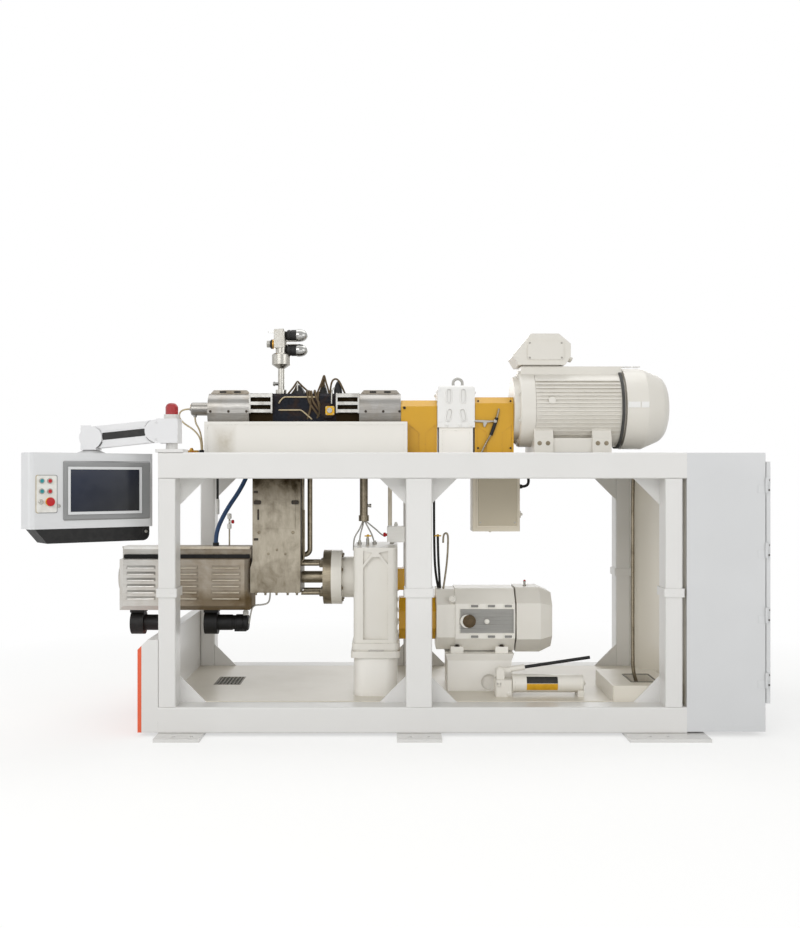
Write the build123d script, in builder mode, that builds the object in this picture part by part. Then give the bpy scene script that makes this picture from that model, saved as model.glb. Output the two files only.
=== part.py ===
from build123d import *
import math
import os

# Compact mixing and extruding plant on one welded frame. Millimetres, +Z up, +X along the
# drive lines towards the electrical cabinet, origin on the floor at the middle of the frame.

# Frame of square tube
frame_length = 3048.0
frame_depth = 1524.0
frame_height = 1651.0
tube_size = 152.4
tube_corner = 10.0
corner_post_width = 101.6
cross_tube_height = 101.6
middle_post_x = -8.0
rail_overrun = 24.0
collar_thickness = 25.4
collar_overhang = 10.0
gusset_leg = 152.4
gusset_thickness = 12.7
pan_thickness = 6.0
deck_thickness = 12.7

# Foot plates and their bolts
foot_thickness = 19.0
foot_reach = 140.0
left_foot_width = 264.0
middle_foot_width = 258.0
right_foot_start = 337.0
right_foot_end = 128.0
bolt_hole_radius = 11.0
bolt_setback = 75.0
outer_bolt_x = 1419.0
inner_bolt_x = 1316.0
middle_bolt_spacing = 104.0

# Drain grate and cable trough in the pan
grate_length = 174.0
grate_width = 279.0
grate_inset = 209.0
grate_y = 50.0
grate_rim = 12.0
grate_bar = 6.0
grate_bar_count = 6
grate_bar_pitch = 24.0
fitting_gap = 0.5
trough_length = 375.0
trough_depth = 550.0
trough_height = 96.0
trough_corner = 12.0
trough_lip = 6.0
mouth_length = 147.0
mouth_depth = 248.0
mouth_left = 141.0
mouth_front = 112.0

# Electrical cabinet
cabinet_width = 456.0
cabinet_bottom = 29.0
cabinet_top_gap = 2.0
sheet = 3.0
cabinet_lip = 40.0
door_bottom = 192.0
door_top_margin = 52.0
door_thickness = 24.0
door_gap = 6.0
door_edge_inset = 5.0
door_meeting_gap = 6.0
latch_radius = 14.0
latch_height = 6.0
hinge_radius = 8.0
hinge_reach = 9.0
hinge_offset = 4.0
hinge_half = 45.0
hinge_leaf = 3.0
hinge_leaf_width = 48.0
hinge_play = 0.3
hinge_count = 4
hinge_end_margin = 136.0
backplate_standoff = 20.0
backplate_margin = 80.0

# End enclosure on the left
end_box_depth = 96.0
end_box_bottom = 24.0
end_box_height = 538.0
end_box_chamfer = 34.0
end_panel_thickness = 23.0

# Drive lines
line_y = -100.0
mixer_axis_height = 293.0
extruder_axis_z = 867.0
gear_drop = 259.0

# Mixer on the deck
mixer_base_left = -1326.0
mixer_base_overhang = 40.0
mixer_base_depth = 520.0
mixer_base_height = 200.0
welded_lip = 20.0
welded_lip_depth = 4.0
mixer_cover_length = 261.0
mixer_fin_length = 147.0
mixer_chamber_length = 400.0
cover_flat = 70.0
cover_half_width = 146.0
cover_belly_out = 127.0
cover_belly_up = 57.0
cover_seam_drop = 14.0
cover_ledge = 10.0
cover_ledge_height = 20.0
cover_foot_half = 138.0
hood_half_depth = 60.0
hood_height = 24.0
hood_base_margin = 5.0
hood_top_margin = 26.0
vent_length = 44.0
vent_height = 12.0
vent_depth = 8.0
vent_spacing = 92.0
fin_count = 3
fin_half_width = 146.0
fin_thickness = 20.0
fin_pitch = 48.0
fin_rise = 28.0
fin_core_half = 112.0
fin_plate = 10.0
fin_plate_drop = 34.0
chamber_chamfer = 18.0
switch_radius = 50.0
switch_depth = 40.0
switch_inset = 52.0
switch_drop = 18.0
rotor_bearing_radius = 42.0
rotor_bearing_length = 128.0
rotor_bearing_flange = 62.0
rotor_bearing_flange_thickness = 14.0
rotor_bearing_round = 10.0
bearing_gland_radius = 11.0
bearing_gland_length = 10.0
bearing_gland_x = -1430.0
cable_diameter = 11.0
deck_gland_x = -1386.0
deck_gland_y = -120.0
deck_gland_spacing = 40.0
deck_gland_radius = 14.0
deck_gland_height = 30.0

# Bent steel lines above the chamber
line_radius = 5.5
line_bend = 15.0
line_y_offset = 24.0
line_sink = 20.0
probe_height = 84.0

# Feed valve stand
valve_x = -876.0
valve_foot_radius = 36.0
valve_foot_height = 30.0
valve_pipe_radius = 21.0
valve_pipe_length = 166.0
valve_collar_cone = 26.0
valve_collar_radius = 60.0
valve_collar_height = 96.0
valve_collar_chamfer = 8.0
valve_body_radius = 36.0
valve_body_height = 142.0
valve_cap_radius = 20.0
valve_cap_height = 18.0
valve_port_radius = 24.0
valve_port_length = 92.0
valve_port_rise = 62.0
knob_radius = 36.0
knob_length = 92.0
knob_gap = 6.0
knob_clearance = 1.5
knob_cap_radius = 17.0
knob_cap_length = 38.0
knob_cap_round = 12.0
knob_flute_radius = 6.0
knob_flute_count = 8
knob_spacing = 80.0
knob_stem_radius = 12.0

# Coupling guards
guard_depth = 300.0
guard_chamfer = 40.0
guard_gap = 2.0
mixer_guard_top = 341.0
mixer_guard_length = 226.0
motor_guard_top = 361.0
motor_guard_length = 244.0
fold_width = 62.0
fold_margin = 12.0
fold_outer_height = 184.0
fold_inner_height = 134.0
fold_depth = 5.0

# Mixer gear reducer and its pedestal
reducer_length = 234.0
reducer_depth = 330.0
reducer_height = 265.0
reducer_below_axis = 125.0
reducer_round = 22.0
reducer_flange_height = 33.0
reducer_flange_overhang = 6.0
reducer_slot_width = 30.0
reducer_slot_spacing = 90.0
reducer_slot_depth = 8.0
upper_slot_height = 88.0
upper_slot_rise = 197.0
lower_slot_height = 76.0
lower_slot_rise = 78.0
lower_slot_tilt = 12.0
eye_radius = 30.0
eye_wire_radius = 9.0
eye_offset = 20.0
eye_rise = 24.0

# Main motor
motor_radius = 255.0
motor_core_radius = 222.0
motor_body_length = 649.0
motor_cowl_length = 288.0
motor_cowl_radius = 258.0
motor_cowl_straight = 134.0
motor_cowl_shoulder_radius = 213.0
motor_cowl_shoulder_along = 237.0
motor_cowl_round_radius = 176.0
motor_cowl_round_along = 274.0
motor_cowl_end_radius = 130.0
motor_bell_length = 33.0
motor_bell_radius = 204.0
motor_shield_radius = 244.0
motor_shield_length = 95.0
motor_shield_round = 14.0
motor_end_ring_length = 28.0
motor_pad_half = 120.0
motor_pad_height = 262.0
motor_foot_length = 118.0
motor_foot_spacing = 362.0
motor_foot_half = 228.0
motor_foot_height = 96.0
motor_saddle_height = 196.0
motor_saddle_half = 188.0
motor_skirt_half = 212.0
motor_skirt_bottom = 12.0
motor_skirt_top = 100.0
motor_fin_count = 15
motor_fin_pitch = 24.0
motor_fin_thickness = 7.0
motor_boss_radius = 22.0
motor_boss_x = 192.0
motor_boss_rise = 40.0
motor_gap = 10.0
terminal_length = 362.0
terminal_height = 196.0
terminal_depth = 300.0
terminal_left_cut = (112.0, 132.0)
terminal_right_cut = (76.0, 64.0)
terminal_lower_cut = (34.0, 54.0)
terminal_neck_length = 226.0
terminal_neck_depth = 200.0
terminal_rise = 8.0
terminal_round = 6.0
lid_length = 226.0
lid_height = 116.0
lid_offset_x = 22.0
lid_offset_z = 18.0
lid_thickness = 9.0
lid_corner = 14.0
grille_hub = 30.0
grille_ring = 7.0
grille_spoke = 7.0
grille_spoke_count = 12
grille_depth = 9.0
grille_edge = 20.0

# Extruder line below
chute_left = -1040.0
chute_length = 300.0
chute_depth = 330.0
chute_bottom = 782.0
chute_flange = 14.0
chute_flange_overhang = 14.0
chute_door_length = 236.0
chute_door_height = 310.0
chute_door_top = 1496.0
chute_door_thickness = 5.0
latch_length = 44.0
latch_width = 24.0
latch_thickness = 9.0
latch_z = 1349.0
feed_height = 200.0
feed_overhang = 14.0
feed_chamfer = 44.0
barrel_radius = 92.0
barrel_end_x = -1900.0
shroud_left = -1879.0
shroud_right = -1060.0
shroud_half = 172.0
shroud_bottom = 671.0
shroud_height = 320.0
shroud_chamfer = 30.0
shroud_sheet = 3.0
shroud_play = 0.3
louvre_length = 178.0
louvre_rise = 20.0
louvre_out = 12.0
louvre_sheet = 2.0
louvre_rows = 6
louvre_pitch = 38.6
louvre_top_z = 934.0
louvre_first = 142.0
louvre_group_pitch = 266.0
louvre_groups = 3
duct_height = 76.0
duct_half = 60.0
duct_lip = 12.0
duct_lip_height = 10.0
hose_diameter = 28.0
hose_deck_x = -1085.0
hose_duct_x = -1296.0
hose_fitting_radius = 20.0
hose_fitting_height = 20.0
blower_neck = 92.0
blower_neck_height = 28.0
blower_scroll_radius = 74.0
blower_scroll_sink = 6.0
blower_scroll_length = 84.0
blower_motor_radius = 50.0
blower_motor_length = 96.0
blower_round = 8.0
left_blower_inset = 88.0
right_blower_inset = 262.0
lantern_flange_x = -601.0
lantern_flange_thickness = 52.0
lantern_radius = 173.0
lantern_rod_radius = 14.0
lantern_rod_circle = 130.0
screw_shaft_radius = 38.0
gear_flange_thickness = 65.0
gear_neck_length = 84.0
gear_neck_radius = 131.0
gearbox_length = 269.0
gearbox_front = 350.0
gearbox_back = 250.0
gearbox_above = 210.0
gearbox_below = 114.0
gearbox_flange_height = 88.0
gearbox_flange_overhang = 16.0
gearbox_lip_height = 38.0
gearbox_lip_gap = 10.0
gearbox_lip_set_back = 6.0
gearbox_corner = 30.0
panel_recess_half = 76.0
panel_recess_bottom = 22.0
panel_recess_shoulder = 124.0
panel_recess_peak = 58.0
panel_recess_peak_half = 24.0
panel_recess_depth = 22.0
facet_top = 20.0
facet_low = 102.0
facet_tip_half = 20.0
facet_tip_drop = 32.0
facet_depth = 14.0
pedestal_half = 188.0
pedestal_corner = 70.0
lower_guard_length = 244.0
lower_guard_radius = 142.0
lower_motor_radius = 203.0
lower_motor_half = 197.0
lower_motor_chamfer = 88.0
lower_motor_body_length = 490.0
lower_bell_length = 118.0
lower_bell_step = 7.0
lower_bell_round = 5.0
lower_motor_cowl_length = 226.0
lower_cowl_chamfer = 91.0
lower_cowl_straight = 151.0
lower_cowl_taper = 33.0
lower_neck_radius = 170.0
side_recess_start = 142.0
side_recess_end = 12.0
side_recess_half = 76.0
side_recess_depth = 10.0
side_fin_count = 5
side_fin_pitch = 26.0
side_fin_thickness = 6.0
side_boss_radius = 42.0
side_boss_x = 190.0
boss_row_height = 95.0
boss_length = 58.0
boss_height = 22.0
boss_depth = 8.0
boss_count = 3
boss_pitch = 105.0
boss_centre_x = 342.0
lower_foot_spacing = 280.0
lower_foot_length = 80.0
lower_foot_half = 170.0
lower_foot_height = 40.0
lower_pedestal_x = 70.0
lower_pedestal_length = 400.0
pedestal_top_plate = 44.0
pedestal_top_overhang = 14.0
pedestal_hole_radius = 49.0
pedestal_hole_x = 258.0
pedestal_hole_z = 227.0
pedestal_hole_depth = 24.0

# Junction box under the deck
junction_x = 345.0
junction_length = 300.0
junction_depth = 200.0
junction_height = 475.0
junction_border = 24.0
junction_door_thickness = 6.0
junction_round = 6.0

# Small sensor box hung from the deck by its conduit, and the pipes beside it
sensor_x = -196.0
sensor_length = 112.0
sensor_depth = 90.0
sensor_bottom = 1094.0
sensor_height = 100.0
conduit_radius = 13.0
conduit_inset = 18.0
oil_pipe_x = -346.0
oil_pipe_radius = 26.0
oil_pipe_end = 1262.0
oil_fitting_radius = 33.0
oil_fitting_height = 37.0
feed_pipe_gap = 48.0
feed_pipe_radius = 16.0
feed_pipe_end = 1010.0
feed_pipe_bend = 36.0

# Hand pump standing in the pan
pump_x = 464.0
pump_y = -418.0
pump_tube_radius = 55.0
pump_tube_length = 434.0
pump_collar_length = 16.0
pump_collar_overhang = 2.0
pump_end_round = 8.0
pump_head_length = 105.0
pump_head_width = 110.0
pump_head_height = 150.0
pump_head_corner = 16.0
pump_foot_height = 19.0
pump_foot_length = 38.0
pump_pivot_inset = 33.0
ear_half = 24.0
ear_thickness = 8.0
lever_length = 556.0
lever_radius = 10.0
lever_angle = 8.5
lever_play = 0.06
lever_half = 14.0
lever_shank = 64.0
socket_radius = 17.0
socket_length = 152.0
socket_depth = 60.0
pump_pin_radius = 8.0

# Panel arm on the left front corner
arm_axis_x = -1459.0
arm_axis_y = -686.0
arm_plate = 163.0
arm_plate_thickness = 19.0
arm_neck_radius = 34.0
arm_neck_height = 36.0
swivel_play = 0.3
arm_block_height = 142.0
arm_block_width = 130.0
arm_cheek = 10.0
arm_cheek_radius = 66.0
arm_seam = 6.0
arm_width = 100.0
arm_height = 129.0
arm_pivot_offset = 79.0
arm_length = 384.0
arm_droop = 6.0
arm_tongue_radius = 30.0
arm_block_back = 47.0
arm_pin_radius = 12.0
arm_pin_play = 0.06
inlay_length = 222.0
inlay_height = 42.0
inlay_rise = 10.0
inlay_depth = 1.5
inlay_corner = 4.0
head_back = 44.0
head_web = 8.0
head_axis_offset = 13.0
beacon_radius = 36.5
beacon_base_radius = 46.0
beacon_base_height = 26.0
beacon_dome_height = 68.0
beacon_dome_round = 29.0

# Operator panel
panel_width = 747.0
panel_height = 434.0
panel_depth = 170.0
panel_turn = 37.0
panel_corner = 30.0
panel_axis_u = 16.0
panel_flange_radius = 88.0
panel_flange_height = 19.0
panel_hub_radius = 46.0
bezel_width = 531.0
bezel_height = 341.0
bezel_u = 82.0
bezel_thickness = 10.0
bezel_bevel = 7.0
bezel_ring = 20.0
bezel_step = 4.0
screen_width = 419.0
screen_height = 244.0
screen_u = 68.0
screen_thickness = 4.0
tray_height = 83.0
tray_bevel = 70.0
tray_round = 40.0
button_plate_width = 112.0
button_plate_height = 216.0
button_plate_u = -272.0
button_plate_v = -18.0
button_plate_thickness = 3.0
button_radius = 16.0
button_height = 12.0
button_spacing_u = 46.0
button_row_v = (56.0, -2.5)
stop_v = -62.0
stop_radius = 25.0
stop_height = 24.0

# Places that follow from the sizes above
frame_left = -frame_length / 2
frame_right = frame_length / 2
rail_y = frame_depth / 2 - tube_size / 2
rail_inner_y = frame_depth / 2 - tube_size
bottom_rail_top = foot_thickness + tube_size
top_rail_bottom = frame_height - tube_size
post_split_z = (bottom_rail_top + top_rail_bottom) / 2
rail_length = frame_length + rail_overrun
cabinet_left = frame_right + rail_overrun
corner_post_x = frame_right - corner_post_width / 2
post_columns = (
    (-corner_post_x, corner_post_width),
    (middle_post_x, tube_size),
    (corner_post_x, corner_post_width),
)
pan_top = bottom_rail_top
deck_bottom = frame_height - deck_thickness
mixer_axis_z = frame_height + mixer_axis_height
drive_axis_z = extruder_axis_z - gear_drop
cabinet_top = frame_height - cabinet_top_gap
cabinet_height = cabinet_top - cabinet_bottom
door_height = cabinet_top - door_top_margin - door_bottom


def across_x(x, y, z):
    """Plane square to X: its first direction is +Y and its second is +Z."""
    return Plane(origin=(x, y, z), x_dir=(0, 1, 0), z_dir=(1, 0, 0))


def across_y(x, y, z):
    """Plane square to Y that faces the front: its first direction is +X, its second +Z."""
    return Plane(origin=(x, y, z), x_dir=(1, 0, 0), z_dir=(0, -1, 0))


def level(x, y, z):
    """Level plane at the given height."""
    return Plane(origin=(x, y, z))


def save(builder, node):
    """Name the finished piece and write it."""
    builder.part.label = node
    export_step(builder.part, f"parts/{node}.step")


os.makedirs("parts", exist_ok=True)

# Long rails at the front and back, closed at the ends
with BuildPart() as bottom_rails:
    for side in (-1, 1):
        with BuildSketch(across_x(frame_left, side * rail_y, foot_thickness + tube_size / 2)):
            RectangleRounded(tube_size, tube_size, tube_corner)
        extrude(amount=rail_length)
save(bottom_rails, "bottom_rails")

with BuildPart() as top_rails:
    for side in (-1, 1):
        with BuildSketch(across_x(frame_left, side * rail_y, frame_height - tube_size / 2)):
            RectangleRounded(tube_size, tube_size, tube_corner)
        extrude(amount=rail_length)
save(top_rails, "top_rails")

# Cross tubes that carry the pan and the deck
with BuildPart() as cross_rails:
    for post_x, post_width in post_columns:
        for top in (pan_top - pan_thickness, deck_bottom):
            with BuildSketch(across_y(post_x, rail_inner_y, top - cross_tube_height / 2)):
                RectangleRounded(post_width, cross_tube_height, tube_corner)
            extrude(amount=2 * rail_inner_y)
save(cross_rails, "cross_rails")

# Posts in two halves, bolted together at a collar of two plates
with BuildPart() as lower_posts:
    for post_x, post_width in post_columns:
        for side in (-1, 1):
            with BuildSketch(level(post_x, side * rail_y, bottom_rail_top)):
                RectangleRounded(post_width, tube_size, tube_corner)
            extrude(amount=post_split_z - bottom_rail_top)
            with BuildSketch(level(post_x, side * rail_y, post_split_z)):
                RectangleRounded(
                    post_width + 2 * collar_overhang, tube_size + 2 * collar_overhang, tube_corner
                )
            extrude(amount=-collar_thickness)
save(lower_posts, "lower_posts")

with BuildPart() as upper_posts:
    for post_x, post_width in post_columns:
        for side in (-1, 1):
            with BuildSketch(level(post_x, side * rail_y, post_split_z)):
                RectangleRounded(post_width, tube_size, tube_corner)
            extrude(amount=top_rail_bottom - post_split_z)
            with BuildSketch(level(post_x, side * rail_y, post_split_z)):
                RectangleRounded(
                    post_width + 2 * collar_overhang, tube_size + 2 * collar_overhang, tube_corner
                )
            extrude(amount=collar_thickness)
save(upper_posts, "upper_posts")

# Gusset plates in every corner of the four bays, at the inner faces of the tubes
window_corners = (
    (-corner_post_x + corner_post_width / 2, 1),
    (middle_post_x - tube_size / 2, -1),
    (middle_post_x + tube_size / 2, 1),
    (corner_post_x - corner_post_width / 2, -1),
)
with BuildPart() as gussets:
    for side in (-1, 1):
        for corner_x, step in window_corners:
            for corner_z, rise in ((bottom_rail_top, 1), (top_rail_bottom, -1)):
                gusset_y = side * (rail_inner_y + gusset_thickness / 2)
                with BuildSketch(across_y(corner_x, gusset_y, corner_z)):
                    with BuildLine():
                        Polyline(
                            (0, 0), (step * gusset_leg, 0), (0, rise * gusset_leg), close=True
                        )
                    make_face()
                extrude(amount=gusset_thickness / 2, both=True)
save(gussets, "gussets")

# Foot plates with two anchor holes each
left_foot_x = frame_left + left_foot_width / 2
right_foot_x = frame_right + (right_foot_end - right_foot_start) / 2
foot_columns = (
    (left_foot_x, left_foot_width, (-outer_bolt_x, -inner_bolt_x)),
    (
        middle_post_x,
        middle_foot_width,
        (middle_post_x - middle_bolt_spacing / 2, middle_post_x + middle_bolt_spacing / 2),
    ),
    (right_foot_x, right_foot_start + right_foot_end, (inner_bolt_x, outer_bolt_x)),
)
foot_depth = foot_reach + tube_size
with BuildPart() as foot_plates:
    for foot_x, foot_width, bolt_places in foot_columns:
        for side in (-1, 1):
            foot_y = side * (frame_depth / 2 + foot_reach - foot_depth / 2)
            with BuildSketch():
                with Locations((foot_x, foot_y)):
                    Rectangle(foot_width, foot_depth)
                for bolt_x in bolt_places:
                    with Locations((bolt_x, side * (frame_depth / 2 + bolt_setback))):
                        Circle(bolt_hole_radius, mode=Mode.SUBTRACT)
            extrude(amount=foot_thickness)
save(foot_plates, "foot_plates")

# Drip pan over the lower cross tubes: a drain grate at the left, a cable trough at the right
grate_x = frame_left + grate_inset + grate_length / 2
trough_x = frame_right - trough_length / 2
trough_y = -rail_inner_y + trough_depth / 2
mouth_x = frame_right - trough_length + mouth_left + mouth_length / 2
mouth_y = -rail_inner_y + mouth_front + mouth_depth / 2
with BuildPart() as drip_pan:
    with BuildSketch(level(0, 0, pan_top - pan_thickness)):
        with Locations((rail_overrun / 2, 0)):
            Rectangle(rail_length, 2 * rail_inner_y)
        with Locations((grate_x, grate_y)):
            Rectangle(grate_length, grate_width, mode=Mode.SUBTRACT)
    extrude(amount=pan_thickness)
    with BuildSketch(level(trough_x, trough_y, pan_top)):
        RectangleRounded(trough_length, trough_depth, trough_corner)
    extrude(amount=trough_height)
    with BuildSketch(level(mouth_x, mouth_y, pan_top)):
        RectangleRounded(mouth_length, mouth_depth, trough_corner)
    extrude(amount=trough_height, mode=Mode.SUBTRACT)
    fillet(drip_pan.faces().sort_by(Axis.Z)[-1].edges(), trough_lip)
save(drip_pan, "drip_pan")

with BuildPart() as pan_grates:
    with BuildSketch(level(grate_x, grate_y, pan_top - pan_thickness)):
        Rectangle(grate_length - 2 * fitting_gap, grate_width - 2 * fitting_gap)
        Rectangle(grate_length - 2 * grate_rim, grate_width - 2 * grate_rim, mode=Mode.SUBTRACT)
        with GridLocations(grate_bar_pitch, 0, grate_bar_count, 1):
            Rectangle(grate_bar, grate_width - 2 * grate_rim)
    extrude(amount=pan_thickness)
save(pan_grates, "pan_grates")

# Deck plate over the upper cross tubes, which carries the mixer and its drive
with BuildPart() as deck_plate:
    with BuildSketch(Plane.XY.offset(deck_bottom)):
        with Locations((rail_overrun / 2, 0)):
            Rectangle(rail_length, 2 * rail_inner_y)
    extrude(amount=deck_thickness)
save(deck_plate, "deck_plate")

# End enclosure with its coloured side panel
end_box_left = frame_left - end_box_depth
end_box_top = end_box_bottom + end_box_height
with BuildPart() as end_enclosure:
    with BuildSketch(across_y(0, 0, 0)):
        with BuildLine():
            Polyline(
                (frame_left, end_box_bottom),
                (frame_left, end_box_top),
                (end_box_left + end_box_chamfer, end_box_top),
                (end_box_left, end_box_top - end_box_chamfer),
                (end_box_left, end_box_bottom),
                close=True,
            )
        make_face()
    extrude(amount=frame_depth / 2, both=True)
save(end_enclosure, "end_enclosure")

with BuildPart() as end_panel:
    with BuildSketch(across_y(0, 0, 0)):
        with BuildLine():
            Polyline(
                (end_box_left, end_box_bottom),
                (end_box_left, end_box_top - end_box_chamfer),
                (
                    end_box_left - end_panel_thickness,
                    end_box_top - end_box_chamfer - end_panel_thickness,
                ),
                (end_box_left - end_panel_thickness, end_box_bottom),
                close=True,
            )
        make_face()
    extrude(amount=frame_depth / 2, both=True)
save(end_panel, "end_panel")

# Electrical cabinet: a folded shell, open at the right behind two doors
cabinet_right = cabinet_left + cabinet_width
door_top = door_bottom + door_height
hinge_x = cabinet_right + hinge_offset
hinge_y = frame_depth / 2 + hinge_reach
hinge_step = (door_height - 2 * hinge_end_margin) / (hinge_count - 1)
hinge_heights = [door_bottom + hinge_end_margin + n * hinge_step for n in range(hinge_count)]
with BuildPart() as cabinet_shell:
    with BuildSketch(Plane.XY.offset(cabinet_bottom)):
        with Locations((cabinet_left + cabinet_width / 2, 0)):
            Rectangle(cabinet_width, frame_depth)
    extrude(amount=cabinet_height)
    with BuildSketch(Plane.XY.offset(cabinet_bottom + sheet)):
        with Locations((cabinet_left + cabinet_width / 2, 0)):
            Rectangle(cabinet_width - 2 * sheet, frame_depth - 2 * sheet)
    extrude(amount=cabinet_height - 2 * sheet, mode=Mode.SUBTRACT)
    with BuildSketch(across_x(cabinet_right - sheet, 0, door_bottom + door_height / 2)):
        Rectangle(frame_depth - 2 * cabinet_lip, door_height - 2 * cabinet_lip)
    extrude(amount=sheet, mode=Mode.SUBTRACT)
    for side in (-1, 1):
        for height in hinge_heights:
            with BuildSketch(level(hinge_x, side * hinge_y, height - hinge_half)):
                Circle(hinge_radius)
                with Locations((-hinge_leaf_width / 2, -side * (hinge_reach - hinge_leaf / 2))):
                    Rectangle(hinge_leaf_width, hinge_leaf)
            extrude(amount=hinge_half - hinge_play / 2)
save(cabinet_shell, "cabinet_shell")

backplate_height = cabinet_height - 2 * backplate_margin
cabinet_mid_z = cabinet_bottom + cabinet_height / 2
with BuildPart() as cabinet_backplate:
    with BuildSketch(across_x(cabinet_left + sheet + backplate_standoff, 0, cabinet_mid_z)):
        Rectangle(frame_depth - 2 * backplate_margin, backplate_height)
    extrude(amount=sheet)
    with BuildSketch(across_x(cabinet_left + sheet, 0, cabinet_mid_z)):
        with GridLocations(
            frame_depth - 3 * backplate_margin, backplate_height - backplate_margin, 2, 2
        ):
            Circle(latch_radius)
    extrude(amount=backplate_standoff)
save(cabinet_backplate, "cabinet_backplate")

# Folded doors, hinged at the front and at the back edge of the cabinet
door_x = cabinet_right + door_gap
door_width = frame_depth / 2 - door_edge_inset - door_meeting_gap / 2
door_names = {-1: "cabinet_door_front", 1: "cabinet_door_back"}
for side, door_name in door_names.items():
    door_y = side * (door_meeting_gap / 2 + door_width / 2)
    with BuildPart() as cabinet_door:
        with BuildSketch(across_x(door_x, door_y, door_bottom + door_height / 2)):
            Rectangle(door_width, door_height)
        extrude(amount=door_thickness)
        with BuildSketch(across_x(door_x, door_y, door_bottom + door_height / 2)):
            Rectangle(door_width - 2 * sheet, door_height - 2 * sheet)
        extrude(amount=door_thickness - sheet, mode=Mode.SUBTRACT)
        latch_y = side * (door_meeting_gap / 2 + 2 * latch_radius)
        for height in (door_bottom + door_height / 4, door_top - door_height / 4):
            with BuildSketch(across_x(door_x + door_thickness, latch_y, height)):
                Circle(latch_radius)
            extrude(amount=latch_height)
        leaf_reach = hinge_y - frame_depth / 2 + door_edge_inset
        for height in hinge_heights:
            with BuildSketch(level(hinge_x, side * hinge_y, height + hinge_play / 2)):
                Circle(hinge_radius)
                with Locations((door_x - hinge_x + door_thickness / 4, -side * leaf_reach / 2)):
                    Rectangle(door_thickness / 2, leaf_reach)
            extrude(amount=hinge_half)
    save(cabinet_door, door_name)

# Mixer: welded base, two clamped covers, two ribbed blocks and the chamber between them
mixer_base_length = 2 * mixer_cover_length + 2 * mixer_fin_length
mixer_base_length += mixer_chamber_length + mixer_base_overhang
mixer_base_x = mixer_base_left + mixer_base_length / 2
mixer_base_top = frame_height + mixer_base_height
with BuildPart() as mixer_base:
    with BuildSketch(level(mixer_base_x, line_y, frame_height)):
        Rectangle(mixer_base_length, mixer_base_depth)
    extrude(amount=mixer_base_height)
    for side in (-1, 1):
        with BuildSketch(
            across_y(
                mixer_base_x,
                line_y + side * (mixer_base_depth - welded_lip_depth) / 2,
                frame_height + (mixer_base_height - welded_lip) / 2,
            )
        ):
            Rectangle(mixer_base_length - 2 * welded_lip, mixer_base_height - welded_lip)
        extrude(amount=welded_lip_depth / 2, both=True, mode=Mode.SUBTRACT)
save(mixer_base, "mixer_base")

mixer_left = mixer_base_left
left_fins_x = mixer_left + mixer_cover_length
chamber_x = left_fins_x + mixer_fin_length
right_fins_x = chamber_x + mixer_chamber_length
right_cover_x = right_fins_x + mixer_fin_length
mixer_half_height = mixer_axis_z - mixer_base_top
cover_top = mixer_axis_z + mixer_half_height
ledge_half = cover_half_width + cover_ledge
ledge_low = -cover_seam_drop - cover_ledge_height
hood_base = mixer_cover_length / 2 - hood_base_margin
hood_top = mixer_cover_length / 2 - hood_top_margin
with BuildPart() as mixer_covers:
    for cover_x in (mixer_left, right_cover_x):
        with BuildSketch(across_x(cover_x, line_y, mixer_axis_z)):
            with BuildLine():
                ThreePointArc(
                    (cover_flat, mixer_half_height),
                    (cover_belly_out, cover_belly_up),
                    (cover_half_width, 0),
                )
                Polyline(
                    (cover_half_width, 0),
                    (cover_half_width, -cover_seam_drop),
                    (ledge_half, -cover_seam_drop),
                    (ledge_half, ledge_low),
                    (cover_foot_half, -mixer_half_height),
                    (-cover_foot_half, -mixer_half_height),
                    (-ledge_half, ledge_low),
                    (-ledge_half, -cover_seam_drop),
                    (-cover_half_width, -cover_seam_drop),
                    (-cover_half_width, 0),
                )
                ThreePointArc(
                    (-cover_half_width, 0),
                    (-cover_belly_out, cover_belly_up),
                    (-cover_flat, mixer_half_height),
                )
                Line((-cover_flat, mixer_half_height), (cover_flat, mixer_half_height))
            make_face()
        extrude(amount=mixer_cover_length)
        cover_mid_x = cover_x + mixer_cover_length / 2
        with BuildSketch(across_y(cover_mid_x, line_y, cover_top)):
            with BuildLine():
                Polyline(
                    (-hood_base, 0),
                    (hood_base, 0),
                    (hood_top, hood_height),
                    (-hood_top, hood_height),
                    close=True,
                )
            make_face()
        extrude(amount=hood_half_depth, both=True)
        for side in (-1, 1):
            with BuildSketch(
                across_y(
                    cover_mid_x,
                    line_y + side * (hood_half_depth - vent_depth / 2),
                    cover_top + hood_height / 2,
                )
            ):
                with GridLocations(vent_spacing, 0, 2, 1):
                    SlotOverall(vent_length, vent_height)
            extrude(amount=vent_depth / 2, both=True, mode=Mode.SUBTRACT)
save(mixer_covers, "mixer_covers")

with BuildPart() as mixer_fin_blocks:
    for block_x in (left_fins_x, right_fins_x):
        with BuildSketch(across_x(block_x, line_y, mixer_axis_z)):
            Rectangle(2 * fin_core_half, 2 * mixer_half_height)
            with Locations((0, fin_rise)):
                with GridLocations(0, fin_pitch, 1, fin_count):
                    Rectangle(2 * fin_half_width, fin_thickness)
        extrude(amount=mixer_fin_length)
        for plate_x in (block_x, block_x + mixer_fin_length - fin_plate):
            with BuildSketch(
                across_x(plate_x, line_y, mixer_axis_z + (mixer_half_height - fin_plate_drop) / 2)
            ):
                Rectangle(2 * fin_half_width, mixer_half_height + fin_plate_drop)
            extrude(amount=fin_plate)
save(mixer_fin_blocks, "mixer_fin_blocks")

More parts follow.
